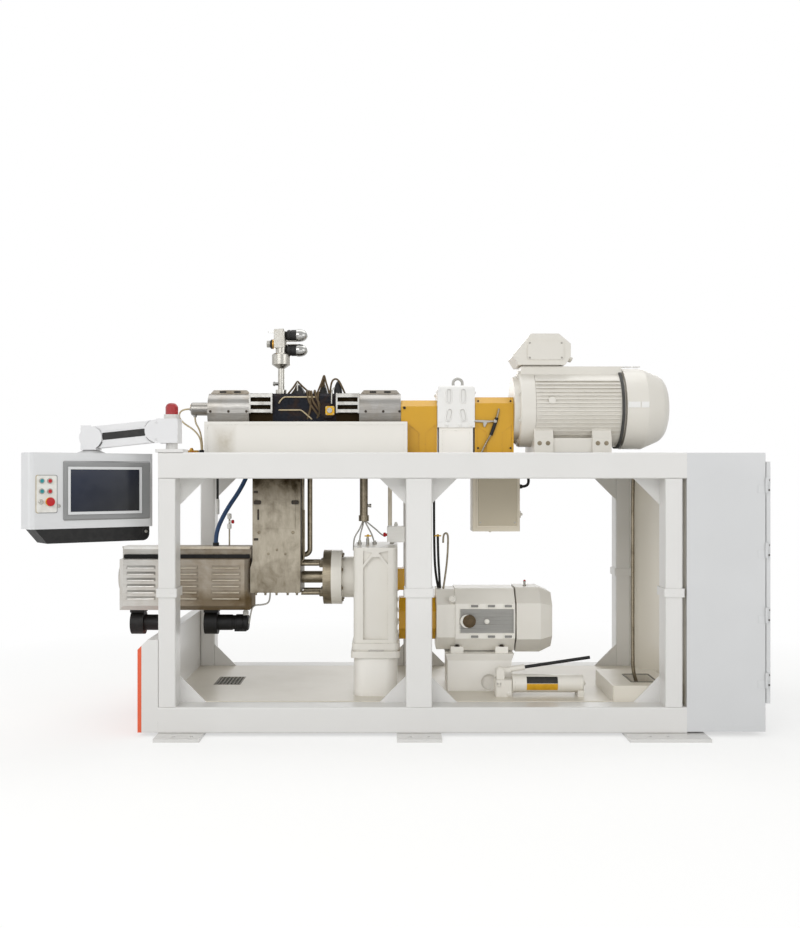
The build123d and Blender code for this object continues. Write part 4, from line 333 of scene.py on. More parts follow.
# Cabinet: powder coat, cooler and flatter than the frame's enamel; all of it left of X 1600, its
# left side wall most of all, is painted lighter and warmer: painted light on faces that stand in
# shade
cabinet_coat = enamel(
    "cabinet_powder_coat", "#D9DADB", "#D0D1D2", roughness=0.48, soiling=0.2, worn=0.3,
    other_finishes_and_painted_light=(((1400, -735, 40), (1600, 735, 1640), "#F6F0E2", "#EFE8D8"),))
# Panel housing: powder coat, pale and cool
panel_coat = enamel(
    "panel_powder_coat", "#DCDDDE", "#D4D5D6", roughness=0.42, soiling=0.25, worn=0.25)
# Arm: the same coat in a paler grey
arm_coat = enamel("arm_powder_coat", "#E6E6E7", "#DEDEDF", roughness=0.42, soiling=0.3, worn=0.25)
# Guards: safety-yellow enamel, with dark grime where hands lift them off
guard_enamel = enamel(
    "guard_yellow_enamel", "#DAA500", "#C69400", dirt="#5E4A12", chip="#4C4430", roughness=0.36,
    soiling=0.6)
# End panel: orange-red enamel
orange_enamel = enamel("end_panel_orange_enamel", "#E8623A", "#DC5730", dirt="#7A3B24")
# Mixer covers: stainless sheet polished along the drive line, bright, with the strip along their
# top darkened: painted shade where that strip is set back
cover_stainless = bare_metal(
    "cover_polished_stainless", "#A9A7A3", "#757370", roughness=0.34, grain=(0.06, 1, 1),
    grain_size=5, staining=0.3, scorch_and_shade=(((-1340, -175, 2036), (-100, -25, 2070), 0.5, 0.5),))
# Fin blocks: the same sheet, darker along their lower part, and dark brown on the floors of the
# grooves between the ribs: painted shade in the grooves
fin_stainless = bare_metal(
    "fin_block_stainless", "#C4C3BF", "#A5A39E", roughness=0.38, grain=ALONG, grain_size=5,
    staining=0.6, stain="#4A3D2A", stain_size=60,
    scorch_and_shade=(((-1080, -260, 1840), (-360, 60, 1900), 0.5, 0.5),
            ((-1080, -216, 1800), (-360, 16, 2031), 0.85, 0.01)))
# Chute: thick stainless plate, heat-dulled, with brown oil patches; its top is darkened brown, a
# painted shadow under the deck, and it is darker towards its bottom
chute_stainless = bare_metal(
    "chute_dull_stainless", "#AFA89A", "#8A8272", roughness=0.5, grain=(1, 1, 0.3), grain_size=30,
    staining=0.5, stain="#46381F",
    scorch_and_shade=(((-1100, -400, 1440), (-700, 200, 1900), 0.95, 0.5),
            ((-1100, -400, 600), (-700, 200, 900), 0.3, 0.5)))
# Shroud: thin stainless sheet, bright at its free end, warm and browned on the hot side
shroud_stainless = bare_metal(
    "shroud_sheet_stainless", "#CFCDC9", "#B3B0A9", roughness=0.36, grain=ALONG, grain_size=6,
    staining=0.25, stain="#7A6644", stain_size=240,
    scorch_and_shade=((*HOT_END, 0.7, 0.5),
            ((-1400, -320, 560), (-1000, 120, 760), 0.4, 0.5)))
# Louvre lips: the same sheet, painted near white along their whole length as a painted highlight,
# and tanned at the hot end
lip_highlight_stainless = bare_metal(
    "louvre_lip_painted_highlight", "#F2F1EE", "#DAD8D2", roughness=0.3, grain_size=6, staining=0.2,
    stain="#A89570", stain_size=60, scorch_and_shade=((*HOT_END, 0.8, 0.5),))
# Turned and drawn steel for shafts, rods and pipes, oiled and tanned
shaft_steel = bare_metal(
    "oiled_drawn_steel", "#A59C8A", "#6F6553", roughness=0.38, grain=ALONG, grain_size=5,
    stain="#4A3D28", staining=0.6, stain_size=60)
# Zinc-plated screws and fittings
zinc_plate = bare_metal(
    "zinc_plated_steel", "#B8B6B0", "#8C8A84", roughness=0.36, grain_size=3, staining=0.3,
    stain_size=20)
# Valve and bearing bodies: polished cast stainless, nearly white under soft light
valve_polish = bare_metal(
    "polished_cast_stainless", "#BEBCB8", "#959389", roughness=0.28, grain_size=12, staining=0.25,
    stain_size=40, depth=0.0002)
# Blackened fasteners
black_screw = bare_metal(
    "blackened_screw_steel", "#4A4742", "#2A2825", roughness=0.45, grain_size=3, stain="#5A3B22",
    staining=0.35, stain_size=20)
# Hot-dip galvanised grate, with its grey spangle about 15 mm across
grate_zinc = bare_metal(
    "galvanised_grate", "#8A877D", "#66635B", roughness=0.55, grain_size=15, staining=0.5,
    stain="#54493A")
# Mixing chamber: heat-blackened iron, bluish, with brown rust in patches
chamber_iron = bare_metal(
    "heat_blackened_iron", "#2B2D33", "#101114", roughness=0.5, grain_size=14, stain="#3F2C1A",
    staining=0.7, depth=0.001, stain_size=80)
# Bezel: satin lacquer over aluminium, an even mid grey
bezel_lacquer = enamel(
    "bezel_satin_lacquer", "#8F9090", "#838484", roughness=0.4, soiling=0.15, worn=0.2)
# Brass fittings
brass = bare_metal(
    "turned_brass", "#C79A4A", "#A0752B", roughness=0.3, grain_size=3, staining=0.3, stain_size=15)
# Blowers, trays and grips: black nylon, dusty
black_nylon = moulded("black_glass_nylon", "#0F0F0F", "#1B1A19", roughness=0.55)
# Valve caps: chrome plate, kept clean
chrome = bare_metal(
    "chrome_plate", "#B8B8B6", "#8E8E8A", roughness=0.16, grain_size=40, staining=0.1)
# Small parts moulded in plain colours
white_plastic = moulded("white_acetal", "#E9E8E3", "#DAD8D0", roughness=0.4)
red_plastic = moulded("red_moulded_cap", "#C2141B", "#A80F16", roughness=0.35)
teal_plastic = moulded("teal_push_button", "#1E8A90", "#176E76", roughness=0.3)
yellow_plastic = moulded("yellow_moulded_plate", "#E8B422", "#D29E17", roughness=0.4)
grey_plastic = moulded("grey_moulded_part", "#8D8C88", "#777672", roughness=0.45)
# Dark grey for the gap between the main motor and its cowl: painted shadow
painted_gap_shadow = moulded("painted_gap_shadow_grey", "#4A4A48", "#3A3A39", roughness=0.7)
brown_jacket = moulded("oil_browned_jacket", "#5F4E36", "#43371F", roughness=0.6, texture=6)
beige_jacket = moulded("beige_cable_jacket", "#C2B393", "#A8987A", roughness=0.55, texture=6)
label_black = moulded("label_black_film", "#1C1B1A", "#2B2A28", roughness=0.4, texture=8)
label_yellow = moulded("label_yellow_film", "#D9A520", "#C7951A", roughness=0.4, texture=8)


def hose_rubber():
    """Dark blue rubber hose. The cloth it was cured in leaves fine rings in its skin."""
    finish, tree, place, shader = blank("blue_wrapped_rubber")
    worn = add(tree, "TexNoise", {"Vector": place, "Scale": per_metre(25), "Detail": 5.0})
    # The wave repeats every 11 mm, coarser than the wrap, so that it shows
    rings = add(tree, "TexWave", {
        "Vector": place, "Scale": per_metre(36), "Distortion": 0.6,
    }, bands_direction="Z").outputs["Fac"]
    tone = add(tree, "Mix", {0: worn, 6: linear("#0E2A4E"), 7: linear("#1D4A78")}, data_type="RGBA")
    bump = add(tree, "Bump", {"Height": rings, "Strength": 0.5, "Distance": 0.001})
    feed(tree, shader, {"Base Color": tone, "Normal": bump, "Roughness": 0.5})
    return finish


def screen_glass():
    """A touch screen that is off: blue-black glass, painted paler grey towards its lower right as a
    painted reflection, with a few wiped finger marks in its gloss."""
    finish, tree, place, shader = blank("touch_screen_glass")
    axes = add(tree, "SeparateXYZ", {0: place})
    # Paler grey towards the lower right: painted reflection
    reflection_slope = add(tree, "Math", {0: axes.outputs[0], 1: axes.outputs[2]}, operation="SUBTRACT")
    share = add(tree, "MapRange", {"Value": reflection_slope, "From Min": -3.45, "From Max": -3.02})
    tone = add(tree, "Mix", {0: share, 6: linear("#0B1830"), 7: linear("#2C2D2E")},
               data_type="RGBA")
    smudge = add(tree, "TexNoise", {"Vector": place, "Scale": per_metre(60), "Detail": 6.0})
    dull = add(tree, "MapRange", {
        "Value": smudge, "From Min": 0.4, "From Max": 0.7, "To Min": 0.1, "To Max": 0.2,
    })
    feed(tree, shader, {"Base Color": tone, "Roughness": dull, "Specular IOR Level": 0.3})
    return finish


def beacon_plastic():
    """Warning beacon: a red acrylic dome with upright ribs, on a pale moulded base."""
    finish, tree, place, shader = blank("beacon_red_acrylic")
    base = inside(tree, place, (-1600, -800, 1840), (-1300, -600, 1874.4), soft=0.002)
    cloud = add(tree, "TexNoise", {"Vector": place, "Scale": per_metre(18)})
    red = add(tree, "Mix", {0: cloud, 6: linear("#8E0A10"), 7: linear("#B8161E")}, data_type="RGBA")
    tone = add(tree, "Mix", {0: base, 6: red, 7: linear("#D9D7D2")}, data_type="RGBA")
    # Ribs are 6 mm apart round the dome
    axis = add(tree, "VectorMath", {0: place, 1: (-1.459, -0.686, 0)}, operation="SUBTRACT")
    flat = add(tree, "SeparateXYZ", {0: axis})
    angle = add(tree, "Math", {0: flat.outputs[0], 1: flat.outputs[1]}, operation="ARCTAN2")
    ribs = add(tree, "Math", {0: angle, 1: 38.0}, operation="MULTIPLY")
    wave = add(tree, "Math", {0: ribs}, operation="SINE")
    bump = add(tree, "Bump", {"Height": wave, "Strength": 0.6, "Distance": 0.0012})
    feed(tree, shader, {"Base Color": tone, "Normal": bump, "Roughness": 0.28,
                        "Coat Weight": 0.15})
    return finish


blue_rubber = hose_rubber()
touch_glass = screen_glass()
beacon_acrylic = beacon_plastic()

finish_of_node = {
    frame_enamel: ("bottom_rails top_rails cross_rails lower_posts upper_posts gussets foot_plates "
                   "deck_plate arm_mount end_enclosure"),
    pedestal_lightened_enamel: "drive_pedestals",
    upper_casting_enamel: "mixer_gearbox",
    junction_coat: "junction_box",
    pan_enamel: "drip_pan",
    base_enamel: "mixer_base",
    casting_enamel: "extruder_gearbox hand_pump lever_socket",
    motor_enamel: "main_motor terminal_box motor_cowls",
    lower_motor_enamel: "extruder_motor",
    cabinet_coat: "cabinet_shell cabinet_backplate cabinet_door_front cabinet_door_back",
    panel_coat: "panel_housing",
    arm_coat: "arm_base support_arm arm_head",
    guard_enamel: "coupling_guards",
    orange_enamel: "end_panel",
    cover_stainless: "mixer_covers rotor_end_bearing",
    fin_stainless: "mixer_fin_blocks",
    chute_stainless: "discharge_chute",
    shroud_stainless: "barrel_shroud shroud_duct extruder_barrel",
    shaft_steel: "lantern deck_pipes chamber_lines",
    valve_polish: "feed_valve",
    grate_zinc: "pan_grates",
    chamber_iron: "mixer_chamber",
    bezel_lacquer: "panel_bezel",
    black_nylon: "barrel_blowers cable_glands panel_tray feed_valve_knobs hand_pump_lever",
    touch_glass: "panel_screen",
    beacon_acrylic: "beacon",
    red_plastic: "panel_buttons",
    beige_jacket: "bearing_cable_short bearing_cable_long",
    blue_rubber: "blue_hose",
}
for finish, names in finish_of_node.items():
    for name in names.split():
        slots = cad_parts[name].data.materials
        if not slots:
            slots.append(finish)
        for index in range(len(slots)):
            slots[index] = finish


# Shape makers. Each adds to a bmesh in millimetres.

def toward(at, along):
    """A frame whose Z points along a direction, at a point."""
    return Matrix.Translation(at) @ Vector(along).to_track_quat("Z", "Y").to_matrix().to_4x4()


def turned(shape, at, along, profile, steps=32, closed=True):
    """Turns (radius, distance) pairs round the line through a point. The ends are closed
    flat, unless the profile ends on the axis or is left open."""
    seat = toward(at, along)
    if closed and profile[0][0]:
        profile = [(0, profile[0][1]), *profile]
    if closed and profile[-1][0]:
        profile = [*profile, (0, profile[-1][1])]
    rings = []
    for radius, run in profile:
        angles = [2 * math.pi * step / steps for step in range(steps if radius else 1)]
        rings.append([shape.verts.new(seat @ Vector((
            radius * math.cos(angle), radius * math.sin(angle), run))) for angle in angles])
    for low, high in zip(rings, rings[1:]):
        for step in range(steps):
            after = (step + 1) % steps
            corners = [low[step % len(low)], low[after % len(low)],
                       high[after % len(high)], high[step % len(high)]]
            shape.faces.new(list(dict.fromkeys(corners)))


def strips(shape, loops):
    """Joins each closed line of points to the next, and the last to the first."""
    for one, two in zip(loops, loops[1:] + loops[:1]):
        for step in range(len(one)):
            after = (step + 1) % len(one)
            shape.faces.new([one[step], one[after], two[after], two[step]])


def slab(shape, at, along, outline, low, high, turn=0):
    """Raises a flat outline from one height to another, turned by so many degrees."""
    seat = toward(at, along) @ Matrix.Rotation(math.radians(turn), 4, "Z")
    bottom, top = ([shape.verts.new(seat @ Vector((x, y, z))) for x, y in outline]
                   for z in (low, high))
    shape.faces.new(bottom[::-1])
    shape.faces.new(top)
    for step in range(len(outline)):
        after = (step + 1) % len(outline)
        shape.faces.new([bottom[step], bottom[after], top[after], top[step]])


def hoop(shape, at, along, outer, inner, low, high):
    """Raises the flat ring between two outlines of equally many points."""
    seat = toward(at, along)
    strips(shape, [[shape.verts.new(seat @ Vector((x, y, z))) for x, y in outline]
                   for outline, z in ((outer, low), (outer, high), (inner, high), (inner, low))])


def bent(shape, ends, axis, radii, first, last, steps):
    """Bends a strip round a line along X at (y, z), between two angles from the front."""
    rows = []
    for x, radius in zip((ends[0], ends[0], ends[1], ends[1]), radii + radii[::-1]):
        angles = [math.radians(first + (last - first) * step / steps) for step in range(steps + 1)]
        rows.append([shape.verts.new((x, axis[0] - radius * math.cos(angle),
                                      axis[1] + radius * math.sin(angle))) for angle in angles])
    for one, two in zip(rows, rows[1:] + rows[:1]):
        for step in range(steps):
            shape.faces.new([one[step], one[step + 1], two[step + 1], two[step]])
    for end in (0, steps):
        shape.faces.new([row[end] for row in rows])


def rounded(width, height, corner, steps=5):
    """The outline of a plate with rounded corners."""
    outline = []
    for number, (side, rise) in enumerate(((1, 1), (-1, 1), (-1, -1), (1, -1))):
        for step in range(steps + 1):
            angle = math.pi / 2 * (number + step / steps)
            outline.append((side * (width / 2 - corner) + corner * math.cos(angle),
                            rise * (height / 2 - corner) + corner * math.sin(angle)))
    return outline


def hex_bolt(shape, at, along, across=16, height=10):
    """A washer and a chamfered hex head, sunk half a millimetre into what they hold."""
    corner = across / 2 / math.cos(math.pi / 6)
    turned(shape, at, along, [(across, -0.5), (across, 2), (across * 0.94, 2.6)], 24)
    turned(shape, at, along, [(corner, 2), (corner, height - 1.5), (corner * 0.86, height)], 6)


def cap_screw(shape, at, along, radius=8, height=6):
    """A socket head with its recess."""
    turned(shape, at, along, [
        (radius, -0.5), (radius, height * 0.7), (radius * 0.85, height), (radius * 0.5, height),
        (radius * 0.45, height * 0.4)], 20)


def settle(made, finish, body):
    """Gives a piece its finish, and lets it ride on its body."""
    made.data.materials.append(finish)
    bpy.context.scene.collection.objects.link(made)
    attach(made, body)
    return made


def build(name, finish, shapes, body="plant", edge=0.0):
    """Makes one piece of several shapes, each given as its maker and what that takes.
    Its edges are softened by so many millimetres."""
    shape = bmesh.new()
    for maker, *how in shapes:
        maker(shape, *how)
    bmesh.ops.recalc_face_normals(shape, faces=shape.faces)
    bmesh.ops.scale(shape, vec=(MM, MM, MM), verts=shape.verts)
    mesh = bpy.data.meshes.new(name)
    shape.to_mesh(mesh)
    shape.free()
    mesh.shade_smooth()
    mesh.set_sharp_from_angle(angle=math.radians(35))
    made = bpy.data.objects.new(name, mesh)
    if edge:
        softened = made.modifiers.new("softened_edges", "BEVEL")
        softened.width = edge * MM
        softened.segments = 2
        softened.limit_method = "ANGLE"
    return settle(made, finish, body)


def tubes(name, finish, radius, routes, closed=False):
    """Bent tubes that share one size, each a smooth line through its bends."""
    curve = bpy.data.curves.new(name, "CURVE")
    curve.dimensions = "3D"
    curve.bevel_depth = radius * MM
    curve.bevel_resolution = 5
    curve.resolution_u = 10
    curve.use_fill_caps = True
    for route in routes:
        spline = curve.splines.new("NURBS")
        spline.points.add(len(route) - 1)
        for point, at in zip(spline.points, route):
            point.co = (*[v * MM for v in at], 1.0)
        spline.order_u = min(3, len(route))
        spline.use_endpoint_u = True
        spline.use_cyclic_u = closed
    return settle(bpy.data.objects.new(name, curve), finish, "plant")


def level(y, *points):
    """A route that stays at one depth, given by its (x, z) points."""
    return [(x, y, z) for x, z in points]


def sides(reach):
    """The front and the back this far from the drives' line, each with its direction."""
    return (LINE_Y - reach, FRONT), (LINE_Y + reach, BACK)


def circle(centre, radius, count, first=0.0):
    """The (y, z) points spread round a drive's axis."""
    return [(LINE_Y + radius * math.cos(angle), centre + radius * math.sin(angle))
            for angle in (first + 2 * math.pi * number / count for number in range(count))]


# Cords: both ends go back into the plant. The points are the part's own route points.

def flex(name, node, finish, diameter, route):
    """A cord that stands for one of the part's nodes."""
    made = tubes(name, finish, diameter / 2, [route])
    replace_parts(made, node)


flex("bearing_flex_short", "bearing_cable_short", beige_jacket, 11, [
    (-1430, -100, 1892), (-1430, -100, 1858), (-1404, -92, 1816), (-1392, -86, 1764),
    (-1386, -80, 1711), (-1386, -80, 1681)])
flex("bearing_flex_long", "bearing_cable_long", beige_jacket, 11, [
    (-1464, -100, 1944), (-1516, -100, 1944), (-1538, -104, 1896), (-1500, -108, 1850),
    (-1440, -112, 1815), (-1396, -118, 1765), (-1386, -120, 1711), (-1386, -120, 1681)])
flex("shroud_hose", "blue_hose", blue_rubber, 28, [
    (-1085, -100, 1618.3), (-1085, -100, 1540), (-1140, -100, 1425), (-1220, -100, 1310),
    (-1278, -100, 1200), (-1296, -100, 1126), (-1296, -100, 1087)])


# Mixer covers, with their screws, and black ovals on their top strip: painted shade in their vents
build("cover_screws", black_screw, [
    (cap_screw, (x, y, 1920), way, 8, 5)
    for x in (-1306, -1192, -1079, -330, -220, -118) for y, way in sides(156)])
build("cover_vent_shade", black_nylon, [
    (slab, (x, y, 2049), way, rounded(43, 11, 5.4), -1, 4)
    for x in (-1241.5, -1149.5, -286.5, -194.5) for y, way in sides(52)])

# Mixing chamber: a switch on its front, and the lines and leads over it
build("switch_plate", yellow_plastic, [
    (slab, (-555, -252, 1925), FRONT, rounded(56, 56, 6), -1, 4)], edge=1)
build("switch_plate_screws", zinc_plate, [
    (turned, (-557, -256, 1926), FRONT, [(17, -1), (17, 4), (15, 6), (8, 6), (7, 4)]),
    *[(cap_screw, (x, -256, z), FRONT, 4, 3) for x in (-577, -533) for z in (1903, 1947)]])
tubes("switch_riser", zinc_plate, 5, [
    [(-546, -230, 1970), (-546, -230, 2040), (-540, -210, 2066), (-530, -180, 2074)]])
tubes("chamber_front_lines", beige_jacket, 4.5, [
    [(-880, -206, 1975), (-880, -219, 1975), (-862, -220, 2000), (-847, -220, 2013),
     (-820, -220, 2013), (-700, -220, 2013), (-645, -220, 2013), (-638, -206, 2013)],
    [(-880, -206, 1931), (-880, -220, 1931), (-850, -220, 1931), (-760, -220, 1931),
     (-738, -220, 1931), (-715, -220, 1912), (-676, -220, 1878), (-670, -206, 1872)]])
tubes("chamber_sensor_leads", brown_jacket, 6.5, [
    [(-712, -150, 2032), (-708, -176, 2054), (-700, -216, 2040), (-692, -222, 1985),
     (-655, -224, 1930), (-625, -206, 1890)],
    [(-684, -150, 2032), (-680, -176, 2056), (-672, -218, 2044), (-668, -224, 1990),
     (-640, -226, 1950), (-622, -206, 1925)],
    [(-662, -150, 2032), (-658, -176, 2060), (-650, -214, 2050), (-645, -222, 2010),
     (-622, -224, 1970), (-616, -206, 1945)],
    [(-636, -150, 2032), (-634, -176, 2058), (-630, -212, 2048), (-636, -220, 1990),
     (-612, -222, 1915), (-640, -206, 1880)],
    [(-698, -150, 2032), (-694, -176, 2056), (-686, -214, 2050), (-676, -222, 1950),
     (-690, -222, 1900), (-700, -206, 1876)]])
# Sensor leads rise from the chamber in two tufts, round black heads
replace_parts(tubes("chamber_lead_tufts", brown_jacket, 6, [
    level(-150, (-828, 2038), (-800, 2070), (-775, 2108), (-767, 2119), (-758, 2108),
          (-725, 2075), (-682, 2038)),
    level(-140, (-806, 2038), (-786, 2060), (-770, 2100), (-755, 2065), (-728, 2038)),
    level(-150, (-645, 2038), (-632, 2066), (-612, 2115), (-600, 2156), (-594, 2150),
          (-586, 2110), (-572, 2070), (-566, 2038)),
    level(-135, (-628, 2038), (-616, 2070), (-606, 2120), (-600, 2140), (-600, 2100),
          (-596, 2038)),
    level(-150, (-560, 2038), (-556, 2090), (-545, 2124), (-526, 2136), (-504, 2124),
          (-484, 2085), (-464, 2038))]), "chamber_lines")
build("chamber_sensor_heads", black_nylon, [
    (turned, (-760, -130, CHAMBER_TOP), UP, [(48, 0), (34, 26), (14, 56), (0, 64)], 8),
    (turned, (-604, -125, CHAMBER_TOP), UP, [(30, 0), (22, 34), (10, 70), (0, 84)], 8),
    (turned, (-510, -130, CHAMBER_TOP), UP, [(26, 0), (27, 26), (20, 60), (8, 84), (0, 90)], 16)])
build("chamber_sensor_rod", zinc_plate, [
    (turned, (-767, -158, CHAMBER_TOP), UP, [(5, 0), (5, 72), (3, 78)], 16)])

# Rotor end bearing and the limit valve on the deck beside it
build("bearing_grease_nipple", brass, [
    (turned, (-1456, -100, 1952), UP,
     [(7, 0), (7, 6), (4, 7), (4, 14), (6, 16), (6, 19), (0, 20)], 20)])
build("deck_limit_valve", brass, [
    (slab, (-1428, -190, DECK_TOP), UP, rounded(74, 46, 6), -0.5, 26),
    (turned, (-1436, -190, DECK_TOP + 25), UP, [(13, 0), (13, 8), (9, 10), (9, 16)], 24)], edge=1)
build("deck_limit_valve_cap", red_plastic, [
    (turned, (-1424, -212.5, DECK_TOP + 13), FRONT, [(6, 0), (6, 4)], 20)])

# Feed valve
build("feed_valve_fittings", chrome, [
    (turned, (-905, -100, 2106), LEFT, [(12, -12), (12, 8), (16, 8), (16, 20), (12, 24)], 6),
    (slab, (-926, -100, 2436), UP, rounded(70, 12, 5), -2, 8)], edge=0.8)
build("feed_valve_side_plate", zinc_plate, [
    (slab, (-812, -100, 2380), UP, rounded(72, 40, 4), -3, 3),
    (slab, (-812, -100, 2358), UP, rounded(72, 40, 4), -3, 3),
    (slab, (-890, -124, 2394), FRONT, rounded(60, 122, 10), -14, 14)], edge=2)
build("feed_valve_port_nut", black_nylon, [
    (turned, VALVE_PORT, LEFT, [(30, -3), (30, 8), (24, 12), (14, 30), (0, 33.5)], 8)])
build("feed_valve_port_ring", brass, [(turned, VALVE_PORT, LEFT, [(31, -12), (31, -3)])])
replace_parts(build("feed_valve_grips", black_nylon, [
    (turned, (-842, -100, z), RIGHT,
     [(24, 0), (33, 6), (36, 12), (36, 22), (33, 25), (33, 30), (36, 33), (36, 66)], 40)
    for z in VALVE_KNOBS]), "feed_valve_knobs")
build("feed_valve_domes", chrome, [
    (turned, (-778, -100, z), RIGHT,
     [(38, 0), (40.5, 6), (41, 20), (39, 36), (33, 52), (23, 64), (11, 71), (0, 73.5)], 40)
    for z in VALVE_KNOBS])

# Mixer gearbox: two upright slots over two that lean, in its front and its back
build("mixer_gearbox_bolts", upper_casting_enamel, [
    *[(hex_bolt, (x, y, 1836), way, 17, 10) for x in (181, 258, 327) for y, way in sides(171)],
    *[(hex_bolt, (x, y, z), way, 14, 9) for z in (1880, 1960, 2040) for y in (-230, 30)
      for x, way in ((354, RIGHT), (120, LEFT))]])
for side, out, floor in (("front", -267, -260), ("back", 67, 60)):
    slots = [(x, z, tall, lean) for z, tall, tilt in ((2016, 92, 0), (1897, 80, 12))
             for x, lean in ((192, tilt), (282, -tilt))]
    tubes("mixer_gearbox_slot_rims_" + side, upper_casting_enamel, 4, [
        [Vector((x, out, z)) + Matrix.Rotation(math.radians(lean), 4, "Y") @ Vector((u, 0, v))
         for u, v in rounded(34, tall, 17)] for x, z, tall, lean in slots], closed=True)
    build("mixer_gearbox_slot_floor_" + side, upper_casting_enamel, [
        (slab, (x, floor, z), FRONT, rounded(25, tall - 10, 12), -1, 1, -lean)
        for x, z, tall, lean in slots])

# Coupling guards and the lever in front of the right one
build("guard_screws", black_screw, [
    *[(cap_screw, (-87, y, 1943), way, 9, 9) for y, way in sides(150)],
    *[(cap_screw, (x, y, z), way, 6, 5) for x in (376, 580) for z in (1690, 1985)
      for y, way in sides(150)]])
build("disconnect_bracket", zinc_plate, [
    (slab, (413, -262, 1848), FRONT, [(-60, 6), (-60, 18), (56, 14), (58, 6), (20, 2), (6, -26),
                                      (-4, -26), (-6, 2)], -6, 6),
    (turned, (482, -262, 1857), FRONT, [(12, -8), (12, 8), (9, 11)], 24)], edge=1)
tubes("disconnect_lever", shaft_steel, 6, [
    level(-262, (506, 1937), (500, 1905), (487, 1859), (456, 1771), (420, 1715), (392, 1652))])
tubes("disconnect_grip", black_nylon, 11, [
    level(-262, (493, 1880), (484, 1850), (470, 1810), (455, 1770))])

# Main motor
build("main_motor_shield_bolts", motor_enamel, [
    (hex_bolt, (635, y, z), LEFT, 18, 11) for y, z in circle(MIXER_Z, 224, 8, math.pi / 8)])
build("main_motor_foot_bolts", shaft_steel, [
    (hex_bolt, (x, y, 1718), way, 14, 8) for x in (752, 804, 1114, 1167) for y, way in sides(228)])
build("main_motor_core", motor_enamel, [
    (turned, (732, LINE_Y, MIXER_Z), RIGHT, [(243, 0), (243, 524)], 96)])
build("terminal_lid_screws", zinc_plate, [
    (cap_screw, (x, -259, z), FRONT, 6, 4) for x in (700, 900) for z in (2257, 2350)])
build("terminal_box_glands", motor_enamel, [
    (turned, (955, -100, 2268), GLAND_WAY, [(20, -4), (20, 10), (15, 12), (15, 30), (12, 34)], 24),
    (turned, (955, -160, 2268), GLAND_WAY, [(16, -4), (16, 10), (12, 12), (12, 26), (9, 30)], 24)])
# The cowl's straps take the gearbox's whiter enamel: painted light that keeps them bright where
# they sit in shade
build("main_cowl_straps", upper_casting_enamel, [
    (bent, ends, (LINE_Y, MIXER_Z + 12), (256, 262), middle - 4, middle + 4, 6)
    for middle in (0, 90, 180, 270) for ends in ((1296, 1372), (1378, 1426))])
# A dark ring fills the gap between the motor and its cowl: painted shadow
build("main_motor_fan_gap_shadow", painted_gap_shadow, [
    (turned, (1263, LINE_Y, MIXER_Z), RIGHT, [(254.5, 0), (254.5, 17)], 96)])

# Lantern between the feed section and the extruder gearbox
build("lantern_nuts", shaft_steel, [
    *[(turned, (-601, y, z), LEFT, [(0, -1), (26, -1), (26, 20), (22, 24), (15, 24)], 6, False)
      for y, z in circle(EXTRUDER_Z, 130, 4, math.pi / 4)],
    *[(turned, (-601, y, z), LEFT, [(14.2, 0), (15, 0), (15, 4), (14.2, 4)], 20, False)
      for y, z in circle(EXTRUDER_Z, 130, 4, math.pi / 4)],
    *[(hex_bolt, (-484, y, z), RIGHT, 18, 11)
      for y, z in circle(EXTRUDER_Z, 152, 8, math.pi / 8)]])

# Discharge chute
build("chute_plugs", shaft_steel, [
    *[(turned, (x, -265, 1160), FRONT, [(11, -1), (11, 1), (8, 2), (6, 0.6)], 24)
      for x in (-998, -786)],
    *[(turned, (x, -265, z), FRONT, [(8, -1), (8, 1), (6, 2), (4, 0.6)], 24)
      for x, z in ((-940, 1026), (-887, 1051), (-834, 1026))],
    *[(hex_bolt, (x, y, 782), DOWN, 12, 16)
      for x in (-1020, -960, -890, -820, -762) for y in (-255, 55)]])
build("chute_latches", black_screw, [
    (slab, (-1003, -270, 1272), FRONT, rounded(12, 68, 5), -1, 2),
    *[(slab, (x, -279, 1349), FRONT, rounded(46, 25, 8), -6, 2) for x in (-1008, -772)],
    *[(slab, (-1018, -265, z), FRONT, rounded(28, 14, 3), -1, 5) for z in (1414, 1117)]], edge=0.6)
tubes("chute_water_line", shaft_steel, 6, [
    [(-733, -180, 1634), (-733, -180, 1500), (-733, -180, 1200), (-733, -180, 1040),
     (-733, -160, 990), (-744, -150, 975)],
    level(-200, (-722, 1300), (-722, 1250), (-722, 1100), (-722, 1000), (-730, 975), (-745, 968))])
tubes("chute_drain_line", zinc_plate, 5, [
    level(-160, (-1075, 575), (-1066, 640), (-1050, 692), (-990, 694), (-950, 705), (-940, 750),
          (-940, 784))])

# Left bay: what hangs beside the hose
tubes("left_bay_black_lead", black_nylon, 8, [
    level(-60, (-1292, DECK_UNDER), (-1292, 1500), (-1292, 1360))])
build("left_bay_white_sleeve", white_plastic, [
    (turned, (-1292, -60, 1267), UP, [(9, 0), (12, 3), (12, 92), (9, 99)], 24)])
tubes("shroud_air_line", shaft_steel, 5, [
    level(-130, (-1205, 1070), (-1205, 1150), (-1205, 1275))])
build("shroud_air_fittings", white_plastic, [
    *[(turned, (-1205, -130, z), UP, [(11, 0), (14, 4), (14, 28), (11, 34)], 20)
      for z in (1176, 1240)],
    (turned, (-1205, -130, 1222), RIGHT, [(8, 0), (8, 16)], 20)])
build("shroud_air_cap", red_plastic, [
    (turned, (-1190, -130, 1222), RIGHT, [(12, 0), (12, 12), (8, 16)], 20)])

# Between the duct and the shroud a black gasket shows, and the duct's top edge is folded; the fold
# takes the lips' near-white finish, a painted highlight
build("duct_gasket", black_nylon, [
    (slab, (-1469, y, 1004), way, rounded(800, 24, 2), -2, 3) for y, way in sides(72)])
build("duct_top_fold", lip_highlight_stainless, [
    (slab, (-1469, y, 1058), way, rounded(800, 17, 2), -2, 4) for y, way in sides(72)])
